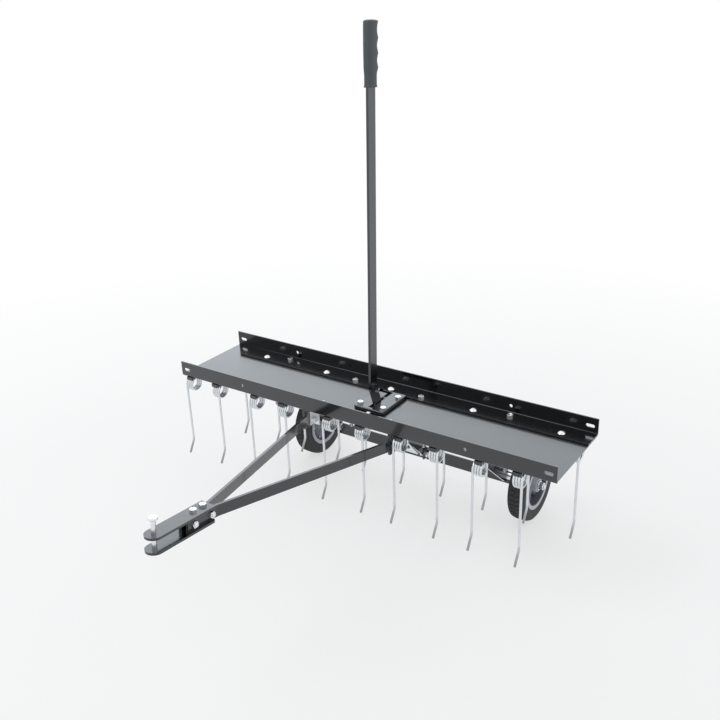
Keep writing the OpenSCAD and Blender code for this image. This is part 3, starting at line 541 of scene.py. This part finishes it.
def doubleTine():
    radius = spring["wire"] / 2
    coilDown = radius + spring["coil"]
    rodY = -spring["ahead"] - spring["coil"]
    corner = spring["corner"]
    lean = math.atan2(spring["lean"], spring["drop"] + spring["rodLow"])
    shape = bmesh.new()
    across = Matrix.Translation((0, spring["back"], -radius)) @ Matrix.Rotation(math.pi / 2, 4, "Y")
    bmesh.ops.create_circle(shape, segments=spring["sides"], radius=radius, matrix=across)
    ring = list(shape.edges)
    ring = onward(shape, ring, (spring["innerHalf"] - corner, 0, 0))
    cornerAt = (spring["innerHalf"] - corner, spring["back"] - corner, -radius)
    ring = aroundOn(shape, ring, cornerAt, (0, 0, 1), -90, steps=8)
    ring = onward(shape, ring, (0, -spring["ahead"] - spring["back"] + corner, 0))
    coilAt = (spring["innerHalf"], -spring["ahead"], -coilDown)
    slide = (spring["forkHalf"] - spring["innerHalf"], 0, 0)
    ring = aroundOn(shape, ring, coilAt, (1, 0, 0), spring["turned"], spring["coilSteps"], slide)
    tangent = spring["bend"] * math.tan(lean / 2)
    bendTop = spring["rodLow"] + tangent
    ring = onward(shape, ring, (0, 0, bendTop + coilDown))
    bendAt = (spring["forkHalf"], rodY - spring["bend"], bendTop)
    ring = aroundOn(shape, ring, bendAt, (1, 0, 0), -math.degrees(lean), steps=6)
    tip = math.hypot(spring["lean"], spring["drop"] + spring["rodLow"]) - tangent
    tipWay = Vector((0, -math.sin(lean), -math.cos(lean)))
    ring = onward(shape, ring, tipWay * (tip - spring["tip"]))
    ring = onward(shape, ring, tipWay * spring["tip"])
    end = list({vert for edge in ring for vert in edge.verts})
    middle = sum((vert.co for vert in end), Vector()) / len(end)
    bmesh.ops.scale(shape, vec=[spring["tipShare"]] * 3, space=Matrix.Translation(-middle), verts=end)
    bmesh.ops.edgeloop_fill(shape, edges=ring)
    bmesh.ops.mirror(
        shape, geom=list(shape.verts) + list(shape.edges) + list(shape.faces),
        matrix=Matrix.Identity(4), merge_dist=touch, axis="X"
    )
    bmesh.ops.remove_doubles(shape, verts=shape.verts, dist=touch)
    bmesh.ops.recalc_face_normals(shape, faces=shape.faces)
    return shape


roundHead = {"reach": 9, "rise": 4.5, "length": 33, "plain": 12, "steps": 8}


def roundBolt():
    reach, rise = roundHead["reach"], roundHead["rise"]
    ball = (reach * reach + rise * rise) / (2 * rise)
    widest = math.asin(reach / ball)
    profile = [(0, 0), (reach, 0)]
    for i in range(roundHead["steps"]):
        lean = widest * (1 - (i + 1) / roundHead["steps"])
        profile.append((ball * math.sin(lean), ball * math.cos(lean) - ball + rise))
    shape = lathe(profile, steps=32)
    addShank(shape, fastener["shank"], roundHead["length"], roundHead["plain"])
    return shape


def addTines():
    wire = doubleTine()
    for row, spec in tineRows.items():
        y, top = spec["y"], spec["top"]
        for number, x in enumerate(spec["places"], 1):
            place = trayPlace @ Matrix.Translation((x, y, top - spring["pad"]))
            stands = [f"{row}_tine_{number}"]
            settle(f"{row}Tine{number}", wire.copy(), place, "springZinc", "frame", stands, sharpAngle=50)
        pads = copyOf(f"{row}_tine_pads", trayPlace)
        soften(pads, spring["padEdge"])
        settle(f"{row}TinePads", pads, trayPlace, "blackCoat", "frame", [f"{row}_tine_pads"])
        clamps = copyOf(f"{row}_tine_clamps", trayPlace)
        soften(clamps, spring["clampEdge"])
        settle(f"{row}TineClamps", clamps, trayPlace, "zinc", "frame", [f"{row}_tine_clamps"])
        seat = top + tray["deck"] + tray["leg"]
        addSet(f"{row}TineBolts", [(roundBolt(), [at(x, y, seat) for x in spec["places"]])],
               "zinc", "frame", [f"{row}_tine_bolts"])
        under = top - spring["pad"] - spring["wire"] - spring["clamp"]
        addSet(f"{row}TineNuts", [(hexNut(), [at(x, y, under, twist=x) for x in spec["places"]])],
               "zinc", "frame", [f"{row}_tine_nuts"])
    wire.free()


addTines()
print("tines made")


# Lever base

base = {
    "x": 24.3, "across": 31, "front": -36, "back": 29, "height": 9, "fold": 2.4, "corner": 4, "rim": 4.2,
    "run": 6, "edge": 0.3, "sharp": 1, "upright": 0.1,
}


def addLeverBase():
    plate = copyOf("lever_base", trayPlace)
    xs = [vert.co.x for vert in plate.verts]
    ys = [vert.co.y for vert in plate.verts]
    lowX, highX, lowY, highY = min(xs), max(xs), min(ys), max(ys)
    sides = [(x, y) for x in (lowX, highX) for y in (lowY, highY)]

    def onCorner(co):
        return any(max(abs(co.x - x), abs(co.y - y)) < touch for x, y in sides)

    upright = edgesWhere(plate, onCorner)
    roundEdges(plate, upright, base["corner"], steps=5)
    onTop = [e for e in plate.edges if all(abs(v.co.z - base["height"]) < touch for v in e.verts)]

    def onRim(co):
        return min(co.x - lowX, highX - co.x, co.y - lowY, highY - co.y) < base["rim"]

    rim = [
        e for e in onTop if len(e.link_faces) == 2 and e.calc_face_angle(0) > base["sharp"]
        and all(onRim(v.co) for v in e.verts)
        and any(abs(f.normal.z) < base["upright"] and onRim(f.calc_center_median()) for f in e.link_faces)
        and not all(abs(v.co.x - base["x"]) < base["run"] for v in e.verts)
    ]
    roundEdges(plate, rim, base["fold"], steps=4)
    soften(plate, base["edge"])
    settle("leverBase", plate, trayPlace, "litDeckCoat", "frame", ["lever_base"])
    spots = [
        (base["x"] + side * base["across"], y) for side in (-1, 1) for y in (base["front"], base["back"])
    ]
    height = base["height"]
    addSet("leverBaseBolts", [
        (throughNut(height + tray["deck"]), [at(x, y, height, twist=x + y) for x, y in spots])
    ], "zinc", "frame", ["lever_base_bolts"])
    addSet("leverBaseNuts", [(hexNut(), [at(x, y, -tray["deck"], twist=y) for x, y in spots])],
           "zinc", "frame", ["lever_base_nuts"])


addLeverBase()
print("lever base made")


# Swing frame with its lever

swing = {
    "pivotY": -28, "pivotZ": -20, "axleY": 205, "axleZ": -230, "armIn": 250.4, "armOut": 256.4,
    "wheelIn": 298, "wheelOut": 342, "gap": 0.4, "leverX": 24.3, "top": (3, 834), "knee": (-29, 55),
    "heel": (-2, -22), "bendReach": 16, "bendLong": 5, "bendWidth": 6,
    "earEdge": 0.5, "armEdge": 0.6, "barEdge": 0.5, "leverEdge": 0.7, "clipEdge": 0.5,
}
pivot = {"seat": 245, "length": 23.2, "plain": 12, "shank": 10, "flats": 16, "head": 6, "nut": 8}
axle = {
    "length": 107, "plain": 89, "shank": 12, "flats": 18, "head": 7, "nut": 10, "bore": 6.1,
    "sleeve": 8, "sleeveLong": 41.2, "washer": 12, "washerThick": 2, "edge": 0.3, "sleeveEdge": 0.4,
}
clip = {"x": 27.3, "z": -232, "half": 6, "sideY": 196, "sideGrip": 10, "barX": 44.3, "barFront": 211,
        "barBack": 218, "nutX": 31.3}


def addSwing():
    pivotY, pivotZ = swing["pivotY"], swing["pivotZ"]
    for word in ("left", "right"):
        ear = copyOf(f"pivot_ear_{word}", trayPlace)
        soften(ear, swing["earEdge"])
        settle(f"pivotEar{word.title()}", ear, trayPlace, "blackCoat", "frame", [f"pivot_ear_{word}"])
        arm = copyOf(f"swing_arm_{word}", trayPlace)
        soften(arm, swing["armEdge"])
        settle(f"swingArm{word.title()}", arm, trayPlace, "blackCoat", "swing", [f"swing_arm_{word}"])
    addSet("pivotBolts", [
        (hexBolt(pivot["length"], pivot["plain"], pivot["shank"], pivot["flats"], pivot["head"]),
         bothSides(pivot["seat"], pivotY, pivotZ, -1))
    ], "zinc", "frame", ["pivot_bolts"])
    outside = swing["armOut"] + swing["gap"]
    addSet("pivotNuts", [
        (hexNut(pivot["shank"], pivot["flats"], pivot["nut"]), bothSides(outside, pivotY, pivotZ, -1))
    ], "zinc", "frame", ["pivot_nuts"])
    bar = copyOf("crossbar", trayPlace)
    soften(bar, swing["barEdge"])
    settle("crossbar", bar, trayPlace, "blackCoat", "swing", ["crossbar"])
    lever = copyOf("lift_lever", trayPlace)
    bends = (swing["knee"], swing["heel"])
    corners = [
        e for e in lever.edges
        if abs(e.verts[0].co.x - e.verts[1].co.x) > swing["bendLong"]
        and any(math.dist(e.verts[0].co.yz, bend) < swing["bendReach"] for bend in bends)
    ]
    roundEdges(lever, corners, swing["bendWidth"], steps=5)
    soften(lever, swing["leverEdge"])
    settle("liftLever", lever, trayPlace, "blackCoat", "swing", ["lift_lever"])
    tie = copyOf("lever_clip", trayPlace)
    soften(tie, swing["clipEdge"])
    settle("leverClip", tie, trayPlace, "blackCoat", "swing", ["lever_clip"])


addSwing()


def ringOf(outer, long, edge):
    # a sleeve or washer round the axle bolt
    bore = axle["bore"]
    return lathe([
        (bore, 0), (outer - edge, 0), (outer, edge),
        (outer, long - edge), (outer - edge, long), (bore, long)
    ], steps=32, closed=True)


def addSwingBolts():
    axleY, axleZ = swing["axleY"], swing["axleZ"]
    clipZ, sideY, barX = clip["z"], clip["sideY"], clip["barX"]
    front, back = clip["barFront"], clip["barBack"]
    addSet("leverBolts", [
        (throughNut(clip["sideGrip"]), [at(clip["x"] - clip["half"], sideY, clipZ, (-1, 0, 0))]),
        (throughNut(back - front), [at(barX, back, clipZ, (0, 1, 0))]),
        (hexNut(), [at(clip["nutX"], sideY, clipZ, (-1, 0, 0)), at(barX, front, clipZ, (0, 1, 0))])
    ], "zinc", "swing", ["lever_bolts"])
    outside = swing["wheelOut"] + swing["gap"]
    addSet("axleBolts", [
        (hexBolt(axle["length"], axle["plain"], axle["shank"], axle["flats"], axle["head"]),
         bothSides(swing["armIn"], axleY, axleZ, -1))
    ], "zinc", "swing", ["axle_bolts"])
    sleeve = ringOf(axle["sleeve"], axle["sleeveLong"], axle["sleeveEdge"])
    addSet("axleSleeves", [(sleeve, bothSides(swing["armOut"], axleY, axleZ, 1))],
           "zinc", "swing", ["axle_sleeves"])
    washer = ringOf(axle["washer"], axle["washerThick"], axle["edge"])
    addSet("axleWashers", [(washer, bothSides(outside, axleY, axleZ, 1))],
           "zinc", "swing", ["axle_washers"])
    outside += axle["washerThick"]
    addSet("axleNuts", [
        (hexNut(axle["shank"], axle["flats"], axle["nut"]), bothSides(outside, axleY, axleZ, -1))
    ], "zinc", "swing", ["axle_nuts"])


addSwingBolts()

grip = {
    "length": 127, "top": 4, "sides": 32, "levels": 84, "half": 11.2, "front": 15.5, "valley": 15.0,
    "crest": 20.8, "crests": (2.5, 34, 62, 90), "tail": 104, "tailHalf": 10.4, "tailReach": 14.2,
    "square": 2.7, "swell": 0.8, "swellTo": 90, "scallop": 1.7, "flare": 0.9, "flareLong": 6,
    "cap": 3, "capShare": 0.75,
}


def gripSection(down):
    # half width, reach to the front and reach to the back, at a distance under the grip's top
    half, front, back = grip["half"], grip["front"], grip["valley"]
    marks = grip["crests"]
    front += grip["swell"] * math.sin(math.pi * min(down / grip["swellTo"], 1))
    for start, end in zip(marks, marks[1:]):
        if start <= down <= end:
            part = (down - start) / (end - start)
            hollow = 1 - abs(2 * part - 1) ** grip["scallop"]
            back = grip["crest"] - (grip["crest"] - grip["valley"]) * hollow
    if down < marks[0]:
        back = grip["crest"] - (marks[0] - down)
    if down > marks[-1]:
        fade = min((down - marks[-1]) / (grip["tail"] - marks[-1]), 1)
        back = grip["crest"] + (grip["tailReach"] - grip["crest"]) * math.sin(fade * math.pi / 2)
        half += (grip["tailHalf"] - half) * fade
        front += (grip["tailReach"] - front) * fade
    flare = grip["flare"] * max(0, down - grip["length"] + grip["flareLong"]) / grip["flareLong"]
    if down < grip["cap"]:
        close = math.sqrt(1 - (1 - down / grip["cap"]) ** 2 * grip["capShare"])
        half, front, back = half * close, front * close, back * close
    return half + flare, front + flare, back + flare


def addGrip():
    shape = bmesh.new()
    bmesh.ops.create_circle(shape, segments=grip["sides"], radius=1)
    ring = list(shape.edges)
    rings = [list(shape.verts)]
    for level in range(grip["levels"]):
        ring = onward(shape, ring, (0, 0, -grip["length"] / grip["levels"]))
        rings.append(list({vert for edge in ring for vert in edge.verts}))
    for verts in rings:
        half, front, back = gripSection(-verts[0].co.z)
        for vert in verts:
            angle = math.atan2(vert.co.y, vert.co.x)
            c, s = math.cos(angle), math.sin(angle)
            vert.co.x = half * math.copysign(abs(c) ** (2 / grip["square"]), c)
            vert.co.y = (back if s > 0 else front) * math.copysign(abs(s) ** (2 / grip["square"]), s)
    bmesh.ops.edgeloop_fill(shape, edges=ring)
    bmesh.ops.edgeloop_fill(shape, edges=[e for e in shape.edges if len(e.link_faces) == 1])
    bmesh.ops.recalc_face_normals(shape, faces=shape.faces)
    knee = Vector(swing["knee"])
    topPoint = Vector(swing["top"])
    way = topPoint - knee
    lean = math.atan2(way.x, way.y)
    place = trayPlace @ Matrix.Translation((swing["leverX"], topPoint.x, topPoint.y))
    place = place @ Matrix.Rotation(-lean, 4, "X") @ Matrix.Translation((0, 0, grip["top"]))
    settle("leverGrip", shape, place, "gripVinyl", "swing", ["lever_grip"], sharpAngle=60)


addGrip()
print("swing frame and lever made")


# Wheels, with their own Z axis pointing out of the machine

wheel = {
    "half": 22, "pitches": 44, "treadLow": 89.4, "shoulder": 0.8, "treadX": (14.6, 8.0, 1.4),
    "lug": 2.4, "lugEdge": 0.7, "lugFrom": 86, "lugStart": 0.499,
    "band": 52, "spokes": 6, "bush": 10, "axle": 6.1, "bushEdge": 0.5,
}
spokeLook = {
    "foot": 14, "short": 1.5, "wide": 13, "thin": 0.86, "tall": 1.12,
    "flat": 0.9, "rim": 2.6, "deep": 3.2, "edge": 0.7,
}


def tyreShape():
    low = wheel["treadLow"]
    sideWall = [
        (59.2, 14.6), (60.6, 18.0), (63.2, 19.4), (65, 20.9), (66.5, 20.4), (73, 21.3), (80, 21.8),
        (85.6, 20.8), (88.8, 18.8), (90.0, 16.6)
    ]
    edgeX, midX, slotX = wheel["treadX"]
    side = sideWall + [(low - wheel["shoulder"], edgeX), (low, midX), (low, slotX)]
    profile = side + [(r, -x) for r, x in reversed(side)]
    steps = wheel["pitches"] * 2
    shape = lathe(profile, steps, closed=True)
    # the tread's rings are turned by turns, so that its blocks lean one way and then the other
    pitch = turn / wheel["pitches"]
    halfPitch = Matrix.Rotation(pitch / 2, 3, "Z")
    for vert in shape.verts:
        onTread = math.hypot(vert.co.x, vert.co.y) > wheel["lugFrom"]
        if onTread and any(abs(abs(vert.co.z) - x) < touch for x in (edgeX, slotX)):
            vert.co = halfPitch @ vert.co
    lugs = []
    for face in shape.faces:
        middle = face.calc_center_median()
        far = math.hypot(middle.x, middle.y)
        if far < wheel["lugFrom"] or not slotX <= abs(middle.z) <= edgeX:
            continue
        angle = math.atan2(middle.y, middle.x) / pitch
        if math.floor(2 * angle - wheel["lugStart"]) % 2 == 0:
            lugs.append(face)
    bmesh.ops.inset_individual(
        shape, faces=lugs, thickness=wheel["lugEdge"], depth=wheel["lug"], use_even_offset=True
    )
    return shape


def rimShape():
    bead = [
        (59.1, 14.6), (60.2, 18.2), (62.2, 19.6), (62.2, 20.4), (60.4, 20.9), (52.8, 20.2), (51.4, 18.9),
        (50.4, 13.0), (49.8, 7.6), (49.2, 5.4),
    ]
    shape = lathe(bead + [(r, -x) for r, x in reversed(bead)], steps=72, closed=True)
    boss = [(wheel["bush"], 20.6), (13.4, 20.6), (14.0, 22.0), (16.2, 22.0), (17, 21.2), (18.0, 8)]
    hub = lathe(boss + [(r, -x) for r, x in reversed(boss)], steps=48, closed=True)
    stamp(shape, hub, [Matrix.Identity(4)])
    hub.free()
    spoke = bmesh.new()
    bmesh.ops.create_cube(spoke, size=1)
    foot, wide = spokeLook["foot"], spokeLook["wide"]
    length = wheel["band"] - spokeLook["short"] - foot
    bmesh.ops.scale(spoke, vec=(length, wide, wide), verts=spoke.verts)
    for vert in spoke.verts:
        if vert.co.x > 0:
            vert.co.y *= spokeLook["thin"]
            vert.co.z *= spokeLook["tall"]
    bmesh.ops.translate(spoke, vec=(foot + length / 2, 0, 0), verts=spoke.verts)
    tops = [face for face in spoke.faces if abs(face.normal.z) > spokeLook["flat"]]
    bmesh.ops.inset_individual(spoke, faces=tops, thickness=spokeLook["rim"], depth=0)
    for face in tops:
        sunk = math.copysign(spokeLook["deep"], -face.normal.z)
        bmesh.ops.translate(spoke, vec=(0, 0, sunk), verts=face.verts)
    soften(spoke, spokeLook["edge"])
    count = wheel["spokes"]
    stamp(shape, spoke, [Matrix.Rotation(turn * i / count, 4, "Z") for i in range(count)])
    spoke.free()
    return shape


def addWheels():
    half, outer, edge = wheel["half"], wheel["bush"], wheel["bushEdge"]
    bush = lathe([
        (wheel["axle"], -half), (outer - edge, -half), (outer, edge - half),
        (outer, half - edge), (outer - edge, half), (wheel["axle"], half)
    ], steps=40, closed=True)
    tyre = tyreShape()
    rim = rimShape()
    for side, word in ((-1, "left"), (1, "right")):
        middle = (swing["wheelIn"] + swing["wheelOut"]) / 2
        place = trayPlace @ at(side * middle, swing["axleY"], swing["axleZ"], (side, 0, 0))
        body = f"wheel_{word}"
        end = word.title()
        settle(f"tyre{end}", tyre.copy(), place, "tyreRubber", body, [f"tyre_{word}"], sharpAngle=35)
        settle(f"rim{end}", rim.copy(), place, "rimGrey", body, [f"rim_{word}"], sharpAngle=35)
        settle(f"bush{end}", bush.copy(), place, "bushNylon", body, [f"bush_{word}"])
    for shape in (tyre, rim, bush):
        shape.free()


addWheels()
print("wheels made")


# Tongue

tongue = {
    "bendX": (-9, 8.5), "bendY": (-450, -448), "channelX": (-17, 18.5), "channelZ": (5, -29), "wall": 5,
    "bend": 4.5, "topX": -0.25, "topY": (-494, -469), "sideY": (-505, -460), "sideZ": -12, "nutX": 11.5,
    "pinX": 0.75, "pinY": -591.75, "pinUp": 28, "topGrip": 26, "sideGrip": 22,
    "bendReach": 4.5, "bendTall": 20, "bendWidth": 10, "endWidth": 5, "barEdge": 0.6, "channelEdge": 0.5,
}
bracket = {"seat": 112, "grip": 9, "y": -78, "z": -42, "edge": 0.5}


def addTongue():
    for index, word in enumerate(("left", "right")):
        bar = copyOf(f"draw_bar_{word}", tonguePlace)
        bendX, bendY = tongue["bendX"][index], tongue["bendY"][index]
        reach = tongue["bendReach"]
        bends = edgesWhere(bar, lambda co: max(abs(co.x - bendX), abs(co.y - bendY)) < reach)
        tall = [e for e in bends if abs(e.verts[0].co.z - e.verts[1].co.z) > tongue["bendTall"]]
        roundEdges(bar, tall, tongue["bendWidth"], steps=5)
        soften(bar, tongue["barEdge"])
        settle(f"drawBar{word.title()}", bar, tonguePlace, "blackCoat", "frame", [f"draw_bar_{word}"])
        plate = copyOf(f"bracket_{word}", trayPlace)
        soften(plate, bracket["edge"])
        settle(f"bracket{word.title()}", plate, trayPlace, "bracketZinc", "frame", [f"bracket_{word}"])
    seat, y, z = bracket["seat"], bracket["y"], bracket["z"]
    addSet("bracketBolts", [(throughNut(bracket["grip"]), bothSides(seat, y, z, -1))],
           "zinc", "frame", ["bracket_bolts"])
    addSet("bracketNuts", [(hexNut(), bothSides(seat + bracket["grip"], y, z, -1))],
           "zinc", "frame", ["bracket_nuts"])
    channel = copyOf("hitch_channel", tonguePlace)
    lowX = tongue["channelX"][0]
    top, low = tongue["channelZ"]

    def onFold(co):
        return abs(co.x - lowX) < touch and min(abs(co.z - top), abs(co.z - low)) < touch

    folds = edgesWhere(channel, onFold)
    roundEdges(channel, folds, tongue["bend"], steps=6)
    rearY = max(vert.co.y for vert in channel.verts)
    farX = tongue["channelX"][1]
    ends = edgesWhere(channel, lambda co: max(abs(co.x - farX), abs(co.y - rearY)) < touch)
    roundEdges(channel, ends, tongue["endWidth"], steps=4)
    soften(channel, tongue["channelEdge"])
    settle("hitchChannel", channel, tonguePlace, "blackCoat", "frame", ["hitch_channel"])
    topX, sideZ = tongue["topX"], tongue["sideZ"]
    past = fastener["nut"] + fastener["past"]
    addSet("hitchTopBolts", [
        (hexBolt(top - low + past, tongue["topGrip"]),
         [at(topX, y, top, twist=y) for y in tongue["topY"]])
    ], "zinc", "frame", ["hitch_top_bolts"], tonguePlace)
    addSet("hitchSideBolts", [
        (hexBolt(tongue["nutX"] - lowX + past, tongue["sideGrip"]),
         [at(lowX, y, sideZ, (-1, 0, 0), y) for y in tongue["sideY"]])
    ], "zinc", "frame", ["hitch_side_bolts"], tonguePlace)
    addSet("hitchNuts", [
        (hexNut(), [at(topX, y, low, twist=y) for y in tongue["topY"]]
         + [at(tongue["nutX"], y, sideZ, (-1, 0, 0), y) for y in tongue["sideY"]])
    ], "zinc", "frame", ["hitch_nuts"], tonguePlace)
    # the pin: a flat head, a shank with a rounded end
    pin = lathe([
        (0, 5), (7.4, 5), (8.6, 4.4), (9, 3.6), (9, 1), (8.6, 0.4), (7.6, 0), (4.72, 0), (4.72, -64.6),
        (4.3, -66.2), (3.2, -67.5), (0, -68)
    ], steps=40)
    pinPlace = Matrix.Translation((tongue["pinX"], tongue["pinY"], tongue["wall"] + tongue["pinUp"]))
    settle("hitchPin", pin, tonguePlace @ pinPlace, "zinc", "pin", ["hitch_pin"])


addTongue()
print("tongue made")


# Floor, world and lamps

studio = {
    "floor": 12, "floorColour": (0.93, 0.94, 0.94, 1), "fadeStart": 1.0, "fadeEnd": 2.4, "nearGlow": 0.6,
    "floorRough": 0.7, "floorShine": 0.2, "worldLight": 0.55, "aim": (0, 0.1, 0.2),
    "key": {"place": (-1.9, -1.6, 3.4), "size": 2.4, "power": 40, "tint": (0.97, 0.99, 1.0)},
    "fill": {"place": (2.8, 0.4, 2.2), "size": 2.8, "power": 10, "tint": (0.94, 0.97, 1.0)},
    "back": {"place": (-2.2, 3.3, 2.1), "size": 4.2, "power": 42, "tint": (0.79, 0.90, 1.0)},
}


def seenOrMirrored(wire):
    path = wire.tree.nodes.new("ShaderNodeLightPath")
    seen = Wire(wire.tree, path.outputs["Is Camera Ray"])
    glossy = Wire(wire.tree, path.outputs["Is Glossy Ray"])
    through = Wire(wire.tree, path.outputs["Is Transmission Ray"])
    return (seen + glossy + through).limited()


def addFloor():
    shape = bmesh.new()
    bmesh.ops.create_grid(shape, x_segments=2, y_segments=2, size=studio["floor"])
    mesh = bpy.data.meshes.new("studioFloor")
    shape.to_mesh(mesh)
    shape.free()
    made = bpy.data.materials.new("studioFloor")
    made.use_nodes = True
    tree = made.node_tree
    shader = tree.nodes["Principled BSDF"]
    shader.inputs["Base Color"].default_value = studio["floorColour"]
    shader.inputs["Roughness"].default_value = studio["floorRough"]
    shader.inputs["Specular IOR Level"].default_value = studio["floorShine"]
    wire = Wire(tree)
    place = wire.node("ShaderNodeTexCoord", out="Object")
    far = wire.node("ShaderNodeVectorMath", {"operation": "LENGTH"}, {0: place}, out="Value")
    span = studio["fadeEnd"] - studio["fadeStart"]
    spread = ((far - studio["fadeStart"]) * (1 / span)).limited()
    near = studio["nearGlow"]
    fade = (near + (1 - near) * spread) * seenOrMirrored(wire)
    glow = wire.node("ShaderNodeEmission", None, {"Color": (1, 1, 1, 1), "Strength": 1.0})
    mixed = tree.nodes.new("ShaderNodeMixShader")
    tree.links.new(fade.socket, mixed.inputs[0])
    tree.links.new(shader.outputs[0], mixed.inputs[1])
    tree.links.new(glow.socket, mixed.inputs[2])
    tree.links.new(mixed.outputs[0], tree.nodes["Material Output"].inputs["Surface"])
    mesh.materials.append(made)
    floor = bpy.data.objects.new("studioFloor", mesh)
    bpy.context.collection.objects.link(floor)


def addWorld():
    world = bpy.data.worlds.new("studio")
    bpy.context.scene.world = world
    world.use_nodes = True
    tree = world.node_tree
    back = tree.nodes["Background"]
    back.inputs["Color"].default_value = (1, 1, 1, 1)
    wire = Wire(tree)
    level = studio["worldLight"] + (1 - studio["worldLight"]) * seenOrMirrored(wire)
    tree.links.new(level.socket, back.inputs["Strength"])


def addLamp(name):
    spec = studio[name]
    data = bpy.data.lights.new(name, "AREA")
    data.shape = "DISK"
    data.size = spec["size"]
    data.energy = spec["power"]
    data.color = spec["tint"]
    lamp = bpy.data.objects.new(name, data)
    aim = Vector(studio["aim"]) - Vector(spec["place"])
    pointing = aim.to_track_quat("-Z", "Y").to_matrix().to_4x4()
    lamp.matrix_world = Matrix.Translation(spec["place"]) @ pointing
    bpy.context.collection.objects.link(lamp)


addFloor()
addWorld()
addLamp("key")
addLamp("fill")
addLamp("back")
bpy.context.scene.view_settings.view_transform = "Standard"
print("studio made")
